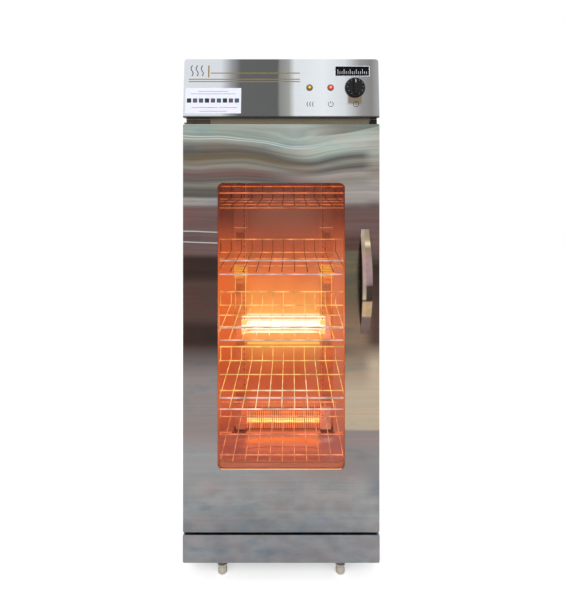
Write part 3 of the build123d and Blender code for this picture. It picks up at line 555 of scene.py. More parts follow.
def doorLinerMaterial():
    # back sheet of the door, with painted glow where the heaters light it at the window's border
    shader = newMaterial("doorLinerSheet", (176, 180, 180), 1.0, 0.34)
    _, x, _, z = objectPlace(shader)
    rim = 0.0025
    halfX, halfZ = windowShape["halfX"] + rim, windowShape["halfZ"] + rim
    near = abs(x).band(halfX, halfX - 0.001) * abs(z - windowShape["middleZ"]).band(halfZ, halfZ - 0.001)
    shineWith(shader, mix(near, black, dimmed(liningBeside(z), 0.60)))
    addGrain(shader, 0.34, 0.25, Grain_Scale=900.0, Grain_Depth=0.3)


def speckledMaterial(name, colour, roughness, scale, amount, metallic=0.0, **sockets):
    shader = newMaterial(name, colour, metallic, roughness, **sockets)
    wear = useGroup(shader, fineWear, Scale=scale, Amount=amount)
    pale = tuple(min(1.0, value * 0.75 + 0.08) for value in linear(colour)[:3]) + (1.0,)
    paintWith(shader, mix(wear["Specks"], colour, pale))
    feed(wear["Patches"] * 0.2 + roughness, shader.inputs["Roughness"])
    addBump(shader, wear["Height"], 0.1, 0.0004)


reflectorLook = {
    # painted light in the two troughs by height in m, and the tone of their less lit ends
    "upper": {"ends": (186, 96, 54), "fade": (0.178, 0.188), "stripes": (0.86, 1.0), "shine": 1.5, "stops": [
        (0.604, (214, 116, 54)), (0.618, (226, 130, 62)), (0.6245, (234, 140, 70)), (0.6292, (255, 250, 212)),
        (0.634, (196, 112, 56)), (0.639, (158, 74, 32)), (0.6445, (255, 252, 224)), (0.680, (255, 253, 228)),
        (0.683, (214, 130, 58)), (0.6868, (255, 252, 216)), (0.6905, (204, 104, 42)), (0.694, (214, 130, 64)),
        (0.698, (255, 236, 178)), (0.707, (255, 246, 208))]},
    "lower": {"ends": (162, 82, 58), "fade": (0.156, 0.171), "stripes": (0.40, 1.30), "shine": 1.15, "stops": [
        (0.206, (36, 16, 14)), (0.211, (42, 18, 16)), (0.2135, (200, 92, 62)), (0.224, (208, 100, 68)),
        (0.229, (255, 206, 112)), (0.246, (255, 216, 126)), (0.250, (214, 116, 76)), (0.2565, (240, 166, 102)),
        (0.262, (216, 116, 70)), (0.278, (238, 134, 76)), (0.285, (184, 82, 54)), (0.311, (180, 80, 52))]},
}


def reflectorMaterial(which, roughness, metallic):
    look = reflectorLook[which]
    shader = newMaterial(which + "Reflector", (110, 84, 72), metallic, roughness)
    coords, x, _, z = objectPlace(shader)
    # painted stripes of light from the winding, and paler painted ends
    stripes = ripples(x, glowPlaces["winding"]).rescaled((-0.6, 0.9), look["stripes"])
    ends = mix(x.band(0.05, 0.15) * 0.35, look["ends"], cavityLook["pale"])
    tone = mix(abs(x).band(*look["fade"]), dimmed(z.tones(look["stops"]), stripes), ends)
    shineAsSteel(shader, blotched(tone, coords, 26.0, 2.0, (0.85, 1.15)), roughness, 0.0, look["shine"])


rackLook = {
    # painted light: tone of the chromed wire by height in m: the racks near the tubes shine, the upper ones stand dark
    "rods": [(0.27, (232, 146, 108)), (0.34, (226, 140, 104)), (0.52, (255, 196, 116)), (0.60, (252, 186, 110)),
             (0.76, (255, 200, 108)), (0.83, (246, 168, 96)), (1.00, (230, 142, 80)), (1.06, (236, 144, 76)),
             (1.22, (206, 104, 58)), (1.29, (222, 112, 58))],
    "wires": [(0.27, (236, 150, 100)), (0.34, (220, 128, 86)), (0.52, (255, 206, 118)), (0.60, (236, 150, 80)),
              (0.76, (255, 196, 98)), (0.83, (222, 124, 62)), (0.985, (64, 22, 20)), (1.01, (78, 30, 24)),
              (1.055, (150, 70, 44)), (1.212, (110, 50, 34)), (1.218, (14, 8, 10)), (1.29, (120, 56, 38))],
    "front": (220, 190, 192), "frontFrom": -0.11, "frontTo": -0.16, "near": (255, 216, 124), "nearReach": 0.22,
    "glare": (255, 250, 222), "glares": (
        {"z": (0.756, 0.775), "y": (-0.115, 0.035), "halfX": 0.165, "share": 0.95},
        {"z": (0.800, 0.816), "y": (-0.190, -0.140), "halfX": 0.135, "share": 0.75},
        {"z": (0.512, 0.535), "y": (-0.190, 0.010), "halfX": 0.110, "share": 0.55}),
    "tip": (255, 176, 84), "tipFrom": -0.1570, "tipTo": -0.1615,
}


def rackMaterial(which, base, frontShare):
    # painted light: wire lit by the heaters, paler at the front with a painted reflection of the room
    r = rackLook
    shader = newMaterial("rack" + which.capitalize(), base, 0.5, 0.22)
    coords, x, y, z = objectPlace(shader)
    near = useGroup(shader, heaterGlow, Upper_Reach=r["nearReach"])["Upper"]
    tone = mix(near * 0.9, z.tones(r[which]), r["near"])
    if frontShare:
        tone = mix(y.band(r["frontFrom"], r["frontTo"]) * z.band(1.20, 1.00) * frontShare, tone, r["front"])
    else:
        # painted highlights on the wires' front tips
        tone = mix(y.band(r["tipFrom"], r["tipTo"]) * 0.8, tone, r["tip"])
    # the wires right in front of the upper heater drown in its light, those of the rack below shine white
    for g in r["glares"]:
        glare = z.within(*g["z"]) * y.within(*g["y"], 0.03) * abs(x).band(g["halfX"] + 0.015, g["halfX"] - 0.01)
        tone = mix(glare * g["share"], tone, r["glare"])
    shineWith(shader, dimmed(tone, noise(coords, 21.0).rescaled((0.36, 0.66), (0.55, 1.2))))
    wear = useGroup(shader, fineWear, Scale=120.0, Amount=0.2)
    feed(wear["Patches"] * 0.2 + 0.2, shader.inputs["Roughness"])


hotLook = {"fadeX": (0.162, 0.120), "fadeZ": (0.030, 0.010), "stripes": (0.22, 1.15), "patches": (0.6, 1.3)}


def hotMaterial(name, cool, hot, strength, brightHeight=None):
    # wire that glows along its hot length and darkens towards the ends, and in the paler tube of a pair
    shader = newMaterial(name, (120, 70, 50), 0.3, 0.5)
    coords, x, _, z = objectPlace(shader)
    fade, light = abs(x).band(*hotLook["fadeX"]), 1.0
    if brightHeight:
        fade = fade * abs(z - brightHeight).band(*hotLook["fadeZ"])
        light = ripples(x, glowPlaces["winding"]).rescaled((-0.7, 0.9), hotLook["stripes"])
        light = light * noise(coords, 14.0).rescaled((0.4, 0.6), hotLook["patches"])
    shineWith(shader, dimmed(mix(fade, cool, hot), light), strength)


def glassMaterial(name, colour, ior):
    shader = newMaterial(name, colour, 0.0, 0.0, Transmission_Weight=1.0, IOR=ior)
    wear = useGroup(shader, fineWear, Scale=14.0, Amount=0.3)
    feed(wear["Patches"] * 0.03, shader.inputs["Roughness"])


def lensMaterial(name, rim, heart, centre):
    shader = newMaterial(name, rim, 0.0, 0.18, Coat_Weight=0.5)
    core = vectorNode("DISTANCE", {0: objectPlace(shader)[0], 1: centre}, "Value").band(0.0052, 0.001)
    paintWith(shader, mix(core, rim, heart))
    shineWith(shader, mix(core, tuple(value * 0.4 for value in rim), heart), 0.6)


doorMaterial()
doorLinerMaterial()
headerMaterial()
uprightMaterial()
trayMaterial()
revealMaterial()
reflectorMaterial("upper", 0.16, 0.85)
reflectorMaterial("lower", 0.2, 0.6)
rackMaterial("rods", (88, 66, 60), 0.8)
rackMaterial("wires", (60, 44, 42), 0.0)
# painted heater light on each part in the cavity, at its own level
litMaterial("liningSheet", (96, 70, 60), 0.7, 0.38, isLining=True)
litMaterial("clipSteel", (96, 70, 60), 0.7, 0.34, level=0.64, upper=0.4)
# painted heater light on the lower tubes' caps
litMaterial("lowerCapGlow", (150, 110, 96), 0.0, 0.5, level=1.1, lower=0.6)
litMaterial("slotShade", (60, 36, 30), 0.4, 0.5, level=0.60, upper=0.3)
litMaterial("clearGasket", (120, 80, 66), 0.0, 0.5, level=0.95, upper=0.2)
# painted glow on the upper tubes' caps; the heating wires below glow in their own light
hotMaterial("upperCapGlow", (255, 206, 122), (255, 250, 214), 1.1)
hotMaterial("upperHotWire", (255, 150, 60), (255, 250, 214), 3.0)
hotMaterial("lowerHotWire", (228, 110, 70), (255, 226, 140), 2.7, 0.240)
glassMaterial("windowGlass", (0.99, 0.97, 0.96, 1.0), 1.06)
glassMaterial("quartzGlass", (1.0, 0.97, 0.93, 1.0), 1.08)

# colour, roughness, depth of the grain and of the waves, then the grain's scale, its contrast and the share of painted
# room reflections
steels = {
    "casingSheet": ((176, 180, 180), 0.34, 0.3, 0.5), "shadedSheet": ((139, 130, 111), 0.34, 0.3, 0.5),
    "darkSteel": ((84, 74, 66), 0.3, 0.2, 0.2), "plinthSheet": ((158, 158, 162), 0.36, 0.4, 0.4, 900.0, 0.05, 0.9),
    "zincSheet": ((158, 161, 164), 0.46, 0.2, 0.8, 160.0), "brightSteel": ((200, 200, 198), 0.2, 0.1, 0.2, 400.0),
}
for steelName, values in steels.items():
    steelMaterial(steelName, *values)

# colour, roughness, scale and amount of the specks, and how metallic
dullPaints = {
    "ceramic": ((214, 200, 186), 0.45, 200.0, 0.25), "sealRubber": ((46, 45, 46), 0.62, 180.0, 0.25),
    "mineralWool": ((196, 178, 120), 0.95, 320.0, 0.8), "nickelFoot": ((214, 204, 192), 0.35, 90.0, 0.35, 0.8),
    "lampRing": ((104, 94, 84), 0.25, 220.0, 0.2, 1.0), "cutoutCase": ((60, 50, 44), 0.5, 120.0, 0.2),
    "goldPrint": ((138, 112, 50), 0.45, 300.0, 0.2, 0.2), "whitePlate": ((222, 225, 235), 0.4, 160.0, 0.25),
    "darkPrint": ((34, 34, 38), 0.6, 260.0, 0.15), "dimPrint": ((150, 152, 160), 0.5, 260.0, 0.15),
    "plumPrint": ((84, 66, 92), 0.5, 260.0, 0.5), "slatePrint": ((60, 74, 96), 0.5, 260.0, 0.5),
    "redPrint": ((222, 96, 100), 0.5, 260.0, 0.3),
}
for paintName, values in dullPaints.items():
    speckledMaterial(paintName, *values)
speckledMaterial("blackPlastic", (12, 12, 13), 0.3, 140.0, 0.08, Specular_IOR_Level=0.25)
speckledMaterial("blackPlate", (6, 6, 7), 0.5, 260.0, 0.03, Specular_IOR_Level=0.1)
print("materials made")


def remade(mesh, change):
    # one pass of bmesh over a mesh
    bm = bmesh.new()
    bm.from_mesh(mesh)
    change(bm)
    bm.to_mesh(mesh)
    bm.free()
    return mesh


def turnOutwards(mesh):
    def change(bm):
        bmesh.ops.remove_doubles(bm, verts=bm.verts, dist=1e-6)
        bmesh.ops.recalc_face_normals(bm, faces=bm.faces)

    return remade(mesh, change)


def sharpened(mesh, degrees):
    def change(bm):
        for edge in bm.edges:
            if len(edge.link_faces) == 2 and edge.calc_face_angle(0.0) > math.radians(degrees):
                edge.smooth = False

    return remade(mesh, change)


def meshFrom(points, faces, paintName, smooth=False):
    mesh = bpy.data.meshes.new("form")
    mesh.from_pydata([tuple(point) for point in points], [], faces)
    mesh.update()
    mesh.materials.append(paints[paintName])
    mesh.polygons.foreach_set("use_smooth", [smooth] * len(mesh.polygons))
    return mesh


def gather(meshes):
    # one mesh out of several, each keeping its own materials
    materials = []

    def change(bm):
        for mesh in meshes:
            first = len(bm.faces)
            bm.from_mesh(mesh)
            bm.faces.ensure_lookup_table()
            materials.extend(material for material in mesh.materials if material not in materials)
            for face in bm.faces[first:]:
                face.material_index = materials.index(mesh.materials[face.material_index])

    whole = remade(bpy.data.meshes.new("form"), change)
    for material in materials:
        whole.materials.append(material)
    return whole


def addObject(name, data):
    made = bpy.data.objects.new(name, data)
    bpy.context.scene.collection.objects.link(made)
    return made


def showPiece(name, mesh, body, stands=()):
    piece = addObject(name, mesh)
    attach(piece, body)
    if stands:
        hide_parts(*stands)


def quarter(count):
    # that many angles from 0 to 90 degrees
    return [math.radians(90 * step / (count - 1)) for step in range(count)]


def onCircle(radius, angle):
    return radius * math.cos(angle), radius * math.sin(angle)


def bridged(loops, paintName, capped=False):
    # skin through loops that hold the same number of points
    count, rows = len(loops[0]), len(loops) - 1
    faces = []
    for first in range(0, rows * count, count):
        for index in range(count):
            a, b = first + index, first + (index + 1) % count
            faces.append((a, b, b + count, a + count))
    if capped:
        faces += [tuple(reversed(range(count))), tuple(range(rows * count, (rows + 1) * count))]
    return turnOutwards(meshFrom([point for loop in loops for point in loop], faces, paintName, True))


def roundedLoop(halfX, halfZ, corner, steps=6):
    # a rounded rectangle as (x, z), from the right side round to the bottom
    loop = []
    corner = max(corner, 1e-5)
    for quadrant in range(4):
        centreX = (halfX - corner) * (1 if quadrant in (0, 3) else -1)
        centreZ = (halfZ - corner) * (1 if quadrant in (0, 1) else -1)
        for turn in quarter(steps + 1):
            x, z = onCircle(corner, math.radians(90 * quadrant) + turn)
            loop.append((centreX + x, centreZ + z))
    return loop


def facingLoop(shape, grown, y):
    # outline of the door or of its window, grown outwards, at a depth
    loop = roundedLoop(shape["halfX"] + grown, shape["halfZ"] + grown, max(shape["corner"] + grown, 0.0004))
    return [Vector((x, y, z + shape["middleZ"])) for x, z in loop]


def lathe(profile, paintName, segments=48, matrix=Matrix.Identity(4)):
    # profile of (radius, height) turned about Z; ends on the axis close the form
    points, faces, rings = [], [], []
    for radius, height in profile:
        count = segments if radius else 1
        rings.append([len(points) + step % count for step in range(segments)])
        points += [matrix @ Vector((*onCircle(radius, 2 * math.pi * step / segments), height)) for step in range(count)]
    for low, high in zip(rings, rings[1:]):
        for step in range(segments):
            after = (step + 1) % segments
            face = tuple(dict.fromkeys((low[step], low[after], high[after], high[step])))
            if len(face) > 2:
                faces.append(face)
    return sharpened(turnOutwards(meshFrom(points, faces, paintName, True)), 35)


def softBox(size, centre, paintName, bevel, segments, matrix):
    def change(bm):
        bmesh.ops.create_cube(bm, size=1.0)
        for vert in bm.verts:
            vert.co = Vector(a * b + c for a, b, c in zip(vert.co, size, centre))
        bmesh.ops.bevel(bm, geom=bm.edges[:], offset=bevel, segments=segments, profile=0.6, affect="EDGES")

    mesh = remade(bpy.data.meshes.new("form"), change)
    mesh.materials.append(paints[paintName])
    mesh.transform(matrix)
    return mesh


def startGrower(name, **kinds):
    # a geometry tree that takes the host's mesh, named values and a material
    tree = bpy.data.node_groups.new(name, "GeometryNodeTree")
    for label, kind in {"Geometry": "Geometry", **kinds, "Material": "Material"}.items():
        tree.interface.new_socket(name=label.replace("_", " "), in_out="INPUT", socket_type="NodeSocket" + kind)
    tree.interface.new_socket(name="Geometry", in_out="OUTPUT", socket_type="NodeSocketGeometry")
    return tree, addNode(tree, "NodeGroupInput").outputs


def finishGrower(tree, start, geometry, smooth=True):
    real = addNode(tree, "GeometryNodeRealizeInstances", {0: geometry})
    shade = addNode(tree, "GeometryNodeSetShadeSmooth", {0: real, "Shade Smooth": smooth})
    paint = addNode(tree, "GeometryNodeSetMaterial", {"Geometry": shade, "Material": start["Material"]})
    feed(paint, addNode(tree, "NodeGroupOutput").inputs[0])
    return tree


def placed(tree, points, geometry):
    return addNode(tree, "GeometryNodeInstanceOnPoints", {"Points": points, "Instance": geometry})


def copiesAlong(tree, start, geometry):
    line = {"Count": start["Copies"], "Offset": start["Step"]}
    return placed(tree, addNode(tree, "GeometryNodeMeshLine", line, mode="OFFSET", count_mode="TOTAL"), geometry)


def swept(tree, curve, facets, radius):
    ring = addNode(tree, "GeometryNodeCurvePrimitiveCircle", {"Resolution": facets, "Radius": radius})
    return addNode(tree, "GeometryNodeCurveToMesh", {"Curve": curve, "Profile Curve": ring, "Fill Caps": True})


def buildRodRow():
    # a bent rod swept along the host's path, then copied at even steps
    tree, start = startGrower("rodRow", Rod_Radius="Float", Bend_Radius="Float", Facets="Int", Copies="Int",
                              Step="Vector")
    path = addNode(tree, "GeometryNodeMeshToCurve", {0: start["Geometry"]})
    bend = addNode(tree, "GeometryNodeFilletCurve")
    if hasattr(bend, "mode"):
        bend.mode = "POLY"
    for label, entry in (("Curve", path), ("Count", 5), ("Radius", start["Bend Radius"])):
        feed(entry, bend.inputs[label])
    bar = swept(tree, bend, start["Facets"], start["Rod Radius"])
    return finishGrower(tree, start, copiesAlong(tree, start, bar))


def buildHeatingCoil():
    # a close winding along X on each of the host's points
    tree, start = startGrower("heatingCoil", Turns="Float", Coil_Radius="Float", Length="Float", Wire_Radius="Float")
    spiral = addNode(tree, "GeometryNodeCurveSpiral", {
        "Resolution": 18, "Rotations": start["Turns"], "Start Radius": start["Coil Radius"],
        "End Radius": start["Coil Radius"], "Height": start["Length"]})
    wire = swept(tree, spiral, 6, start["Wire Radius"])
    turn = addNode(tree, "GeometryNodeTransform", {"Geometry": wire, "Rotation": (0, math.pi / 2, 0)})
    return finishGrower(tree, start, placed(tree, start["Geometry"], turn))


def buildCopyRow():
    # the host's own form, copied at even steps
    tree, start = startGrower("copyRow", Copies="Int", Step="Vector")
    return finishGrower(tree, start, copiesAlong(tree, start, start["Geometry"]), smooth=False)


def buildScrewField():
    # a low domed screw head on each of the host's points
    tree, start = startGrower("screwField", Head_Radius="Float", Rise="Float", Turn="Vector")
    dome = addNode(tree, "GeometryNodeMeshUVSphere", {"Segments": 16, "Rings": 8, "Radius": start["Head Radius"]})
    flatten = addNode(tree, "ShaderNodeCombineXYZ", {0: 1.0, 1: 1.0, 2: start["Rise"]})
    squash = addNode(tree, "GeometryNodeTransform", {"Geometry": dome, "Scale": flatten})
    turn = addNode(tree, "GeometryNodeTransform", {"Geometry": squash, "Rotation": start["Turn"]})
    return finishGrower(tree, start, placed(tree, start["Geometry"], turn))


def grow(tree, points, edges=(), faces=(), **values):
    # runs a tree on a host and hands back the plain mesh
    mesh = bpy.data.meshes.new("host")
    mesh.from_pydata([tuple(point) for point in points], list(edges), list(faces))
    host = addObject("host", mesh)
    modifier = host.modifiers.new("grow", "NODES")
    modifier.node_group = tree
    for item in tree.interface.items_tree:
        if item.item_type == "SOCKET" and item.in_out == "INPUT" and item.name.replace(" ", "_") in values:
            modifier[item.identifier] = values[item.name.replace(" ", "_")]
    bpy.context.view_layer.update()
    view = bpy.context.evaluated_depsgraph_get()
    grown = bpy.data.meshes.new_from_object(host.evaluated_get(view))
    host.modifiers.remove(modifier)
    bpy.data.objects.remove(host)
    return grown


rodRow, heatingCoil = buildRodRow(), buildHeatingCoil()
copyRow, screwField = buildCopyRow(), buildScrewField()
print("geometry trees built")


def rod(points, radius, bend, facets, paintName, copies=1, step=(0.0, 0.0, 0.0), closed=False):
    # a bent rod through the points, or an even row of such rods
    count = len(points)
    edges = [(index, (index + 1) % count) for index in range(count if closed else count - 1)]
    return grow(rodRow, points, edges, Rod_Radius=radius, Bend_Radius=bend, Facets=facets, Copies=copies, Step=step,
                Material=paints[paintName])


plainNodes = {
    "casingSheet": "side_panel_left side_panel_right top_panel", "shadedSheet": "front_frame",
    "plinthSheet": "plinth_panel", "darkSteel": "hinge_bracket_top hinge_bracket_bottom",
    "zincSheet": "back_panel base_pan deck", "doorLinerSheet": "door_liner",
    "blackPlastic": "door_catch hinge_bushes timer_body cord_gland", "mineralWool": "insulation door_insulation",
    "liningSheet": "liner_left liner_right liner_back liner_ceiling liner_floor",
    "uprightSteel": "back_uprights side_uprights", "clipSteel": "back_clips side_clips", "traySteel": "drip_tray",
    "windowGlass": "door_glass", "clearGasket": "glass_gasket", "sealRubber": "door_seal",
    "cutoutCase": "thermal_cutout", "ceramic": "terminal_block", "upperReflector": "reflector_upper",
    "lowerReflector": "reflector_lower", "quartzGlass": "quartz_tubes_upper quartz_tubes_lower",
    "upperCapGlow": "tube_caps_upper", "lowerCapGlow": "tube_caps_lower",
}
for paintName, nodeNames in plainNodes.items():
    for piece in [nodes[name] for name in nodeNames.split()]:
        if not piece.material_slots:
            piece.data.materials.append(paints[paintName])
        for slot in piece.material_slots:
            slot.material = paints[paintName]
print("materials assigned")


doorShape = {"front": -0.250, "back": -0.208, "halfX": 0.325, "halfZ": 0.675, "middleZ": 0.836, "corner": 0.005,
             "sheet": 0.0012, "edge": 0.003, "lip": 0.0015, "return": 0.005, "softFace": 0.0004}


def buildDoorShell():
    # folded pan with a soft front edge and a window whose edge rolls inward
    d, w = doorShape, windowShape
    fold, inner = d["front"] + d["return"], d["front"] + d["sheet"]
    loops = [facingLoop(d, -d["sheet"], d["back"]), facingLoop(d, 0, d["back"])]
    for turn in quarter(5):
        across, deep = onCircle(d["edge"], turn)
        loops.append(facingLoop(d, across - d["edge"], d["front"] + d["edge"] - deep))
    for turn in quarter(4):
        deep, across = onCircle(d["lip"], turn)
        loops.append(facingLoop(w, d["lip"] - across, d["front"] + d["lip"] - deep))
    loops += [facingLoop(w, 0, fold), facingLoop(w, d["sheet"], fold), facingLoop(w, d["sheet"], inner),
              facingLoop(d, -d["sheet"], inner), loops[0]]
    shell = bridged(loops, "polishedDoorSheet")
    for face in shell.polygons:
        face.use_smooth = face.area < d["softFace"]
    return sharpened(shell, 40)


showPiece("door_shell", buildDoorShell(), "door", ["door_skin"])

sleeveShape = {"front": -0.2378, "back": -0.2134, "sheet": 0.0008}


def buildSleeve():
    # channel that lines the window between the two panes, painted with the heaters' glow
    v = sleeveShape
    section = ((0.0, v["front"]), (0.0, v["back"]), (v["sheet"], v["back"]), (v["sheet"], v["front"]),
               (0.0, v["front"]))
    return sharpened(bridged([facingLoop(windowShape, grown, y) for grown, y in section], "windowReveal"), 40)


showPiece("window_sleeve", buildSleeve(), "door")

handleShape = {"middleX": 0.2765, "low": 0.819, "high": 1.164, "foot": 0.022, "crown": -0.295, "thick": 0.004,
               "halfMiddle": 0.0175, "halfEnd": 0.0135, "bulge": 0.0022}
handleLook = {
    # painted reflections: soft patches of the room on the bowed bar by height in m, on each side of its crown
    "left": [(0.819, (118, 98, 94)), (0.880, (128, 108, 104)), (0.886, (202, 172, 138)), (0.934, (196, 166, 132)),
             (0.940, (72, 58, 54)), (0.946, (190, 178, 152)), (1.000, (172, 154, 146)), (1.060, (182, 152, 150)),
             (1.100, (168, 144, 126)), (1.164, (182, 168, 150))],
    "right": [(0.819, (114, 94, 90)), (0.880, (126, 106, 102)), (0.886, (194, 162, 126)), (0.934, (188, 156, 122)),
              (0.940, (62, 50, 46)), (0.986, (76, 64, 58)), (0.994, (154, 130, 132)), (1.050, (166, 138, 140)),
              (1.105, (156, 134, 118)), (1.118, (232, 220, 186)), (1.130, (172, 152, 126)), (1.164, (160, 146, 128))],
    "crown": 0.273, "shade": (74, 44, 42),
}


def handleMaterial():
    shader = newMaterial("handleSteel", (160, 140, 124), 1.0, 0.16)
    coords, x, _, z = objectPlace(shader)
    crown = handleLook["crown"]
    tone = mix(x.band(crown - 0.003, crown + 0.003), z.tones(handleLook["left"]), z.tones(handleLook["right"]))
    # painted shade along the bar's side towards the hinges
    tone = mix(x.band(0.2635, 0.2605), tone, handleLook["shade"])
    paintWith(shader, blotched(tone, coords, 40.0, 3.0, (0.88, 1.1)))
    addGrain(shader, 0.16, 0.15, 0.001, Grain_Scale=900.0, Grain_Depth=0.1)


def buildHandle():
    # flat bar bowed away from the door, crowned across, with a flat foot at each end
    h = handleShape
    thick, foot = h["thick"], h["foot"]
    base = doorShape["front"] - thick
    middle, half = (h["low"] + h["high"]) / 2, (h["high"] - h["low"]) / 2
    rise, chord = base - h["crown"], half - foot
    radius = (rise * rise + chord * chord) / (2 * rise)
    spread = math.asin(chord / radius)
    path = [(base, h["low"], 0.0), (base, h["low"] + 0.6 * foot, 0.0)]
    for turn in [spread * (step / 16 - 1) for step in range(33)]:
        path.append((h["crown"] + radius - radius * math.cos(turn), middle + radius * math.sin(turn), turn))
    path += [(base, h["high"] - 0.6 * foot, 0.0), (base, h["high"], 0.0)]
    loops = []
    for y, z, turn in path:
        share = 1 - ((z - middle) / half) ** 2
        width = h["halfEnd"] + (h["halfMiddle"] - h["halfEnd"]) * share
        bulge = h["bulge"] * min(1.0, share * 4)
        outward = Vector((0, -math.cos(turn), math.sin(turn)))
        section = [(x * width, -bulge * x * x) for x in [step / 5 - 1 for step in range(11)]]
        section += [(width * x, -thick) for x in (1, 0.5, 0, -0.5, -1)]
        loops.append([Vector((h["middleX"] + x, y, z)) + outward * out for x, out in section])
    return sharpened(bridged(loops, "handleSteel", True), 35)


handleMaterial()
showPiece("handle_bar", buildHandle(), "door", ["door_handle"])
print("door built")


panelShape = {"front": -0.250, "back": -0.200, "halfX": 0.325, "bottom": 1.532, "top": 1.730, "lean": 6.0,
              "corner": 0.010, "foot": 0.002, "edge": 0.0022, "sheet": 0.0012, "control": 0.101, "knobX": 0.245,
              "shaftHole": 0.004, "softFace": 0.0002}
lean = math.radians(panelShape["lean"])
panelMatrix = Matrix(((1, 0, 0, 0), (0, math.sin(lean), -math.cos(lean), panelShape["front"]),
                      (0, math.cos(lean), math.sin(lean), panelShape["bottom"]), (0, 0, 0, 1)))


def onPanel(x, up, out=0.0):
    return panelMatrix @ Matrix.Translation((x, up, out))


def upPanel(z):
    # height above the floor to distance up the panel
    return (z - panelShape["bottom"]) / math.cos(lean)


def headerOutline(inset):
    # outline of the control panel as (x, z), drawn in by the inset, round from the top right corner
    p, points = panelShape, []
    corners = ((1, 1, p["top"], p["corner"]), (-1, 1, p["top"], p["corner"]), (-1, -1, p["bottom"], p["foot"]),
               (1, -1, p["bottom"], p["foot"]))
    for quadrant, (sideX, sideZ, level, radius) in enumerate(corners):
        turned = max(radius - inset, 0.0003)
        for turn in quarter(7):
            x, z = onCircle(turned, math.radians(90 * quadrant) + turn)
            points.append((sideX * (p["halfX"] - inset - turned) + x, level - sideZ * (inset + turned) + z))
    return points


def buildHeaderShell():
    # folded front that leans back, with rounded top corners and a hole for the timer's shaft
    p = panelShape
    loops = [[Vector((x, p["back"], z)) for x, z in headerOutline(inset)] for inset in (p["sheet"], 0)]
    for turn in quarter(5):
        across, deep = onCircle(p["edge"], turn)
        loops.append([Vector((x, p["front"] + (z - p["bottom"]) * math.tan(lean) + p["edge"] - deep, z))
                      for x, z in headerOutline(p["edge"] - across)])

    def change(bm):
        rim = [edge for edge in bm.edges if edge.is_boundary and min(v.co.y for v in edge.verts) < p["back"] - 0.01]
        hole = onPanel(p["knobX"], p["control"])
        ring = [bm.verts.new(hole @ Vector((*onCircle(p["shaftHole"], math.radians(15 * k)), 0))) for k in range(24)]
        rim += [bm.edges.new((ring[k - 1], ring[k])) for k in range(24)]
        bmesh.ops.triangle_fill(bm, edges=rim, use_beauty=True, normal=Vector((0, -math.cos(lean), math.sin(lean))))
        bmesh.ops.recalc_face_normals(bm, faces=bm.faces)
        for face in bm.faces:
            face.smooth = face.calc_area() < p["softFace"] and abs(face.normal.y) < 0.98

    return sharpened(remade(bridged(loops, "controlPanelSheet"), change), 40)


showPiece("header_shell", buildHeaderShell(), "cabinet", ["header_panel"])


def plate(width, height, thick, centre, paintName, radius, out=0.0):
    # thin rounded plate lying on the control panel, at a place across and a height above the floor
    loops = []
    for inset, level in ((0.0, 0.0), (0.0, thick * 0.7), (thick * 0.5, thick)):
        loop = roundedLoop(width / 2 - inset, height / 2 - inset, max(radius - inset, 0.0001), 3)
        loops.append([onPanel(centre[0], upPanel(centre[1]), out) @ Vector((x, y, level)) for x, y in loop])
    made = bridged(loops, paintName, True)
    made.polygons.foreach_set("use_smooth", [False] * len(made.polygons))
    return made


printShape = {
    # printed rules, sticker and plate by place across and height in m
    "rules": ((-0.235, 0.062, 1.682), (-0.308, 0.062, 1.661), (-0.308, 0.062, 1.653)), "rule": 0.0032,
    "upright": (-0.242, 1.6875, 0.0044, 0.041), "plate": (0.2365, 1.6885, 0.116, 0.036), "plateEdge": 0.004,
    "sticker": (-0.2255, 1.5885, 0.185, 0.086), "ticks": 15, "tickStep": 0.0068, "tickTall": (0.016, 0.009, 0.009),
    "tickFoot": 0.010, "tiles": 9, "tile": 0.0145, "tileStep": 0.0198, "tileStart": -0.3055, "tileZ": 1.589,
    "lines": ((-0.2255, 1.6195, 0.10, "dimPrint"), (-0.2255, 1.6115, 0.15, "dimPrint"),
              (-0.262, 1.5655, 0.070, "redPrint"), (-0.2255, 1.5655, 0.030, "redPrint"),
              (-0.176, 1.5655, 0.060, "redPrint"), (-0.2255, 1.5530, 0.09, "dimPrint")),
}


def buildPrints():
    s, ink = printShape, 0.0002
    parts = [plate(right - left, s["rule"], ink, ((left + right) / 2, z), "goldPrint", 0.0003)
             for left, right, z in s["rules"]]
    x, z, width, height = s["upright"]
    parts.append(plate(width, height, ink, (x, z), "goldPrint", 0.0003))
    x, z, width, height = s["plate"]
    parts.append(plate(width, height, 0.0010, (x, z), "whitePlate", 0.001))
    parts.append(plate(width - s["plateEdge"], height - s["plateEdge"], 0.0004, (x, z), "blackPlate", 0.001, 0.0010))
    for index in range(s["ticks"]):
        tall = s["tickTall"][index % 3]
        place = (x + s["tickStep"] * (index - (s["ticks"] - 1) / 2), z + (tall / 2 - s["tickFoot"]) * math.cos(lean))
        parts.append(plate(0.0014, tall, ink, place, "whitePlate", 0.0002, 0.0014))
    x, z, width, height = s["sticker"]
    parts.append(plate(width, height, 0.0004, (x, z), "whitePlate", 0.001))
    for index in range(s["tiles"]):
        tone = ("darkPrint", "slatePrint", "plumPrint")[index * 2 % 3]
        place = (s["tileStart"] + s["tileStep"] * index, s["tileZ"])
        parts.append(plate(s["tile"], s["tile"], ink, place, tone, 0.0015, 0.0004))
    parts += [plate(width, 0.0017, ink, (x, z), paintName, 0.0003, 0.0004) for x, z, width, paintName in s["lines"]]
    return gather(parts)


showPiece("panel_prints", buildPrints(), "cabinet")


def symbolLine(centre, points, radius=0.0010, closed=False):
    place = onPanel(centre[0], upPanel(centre[1]), 0.0001)
    return rod([place @ Vector((x, y, 0)) for x, y in points], radius, 0.0, 5, "darkPrint", closed=closed)


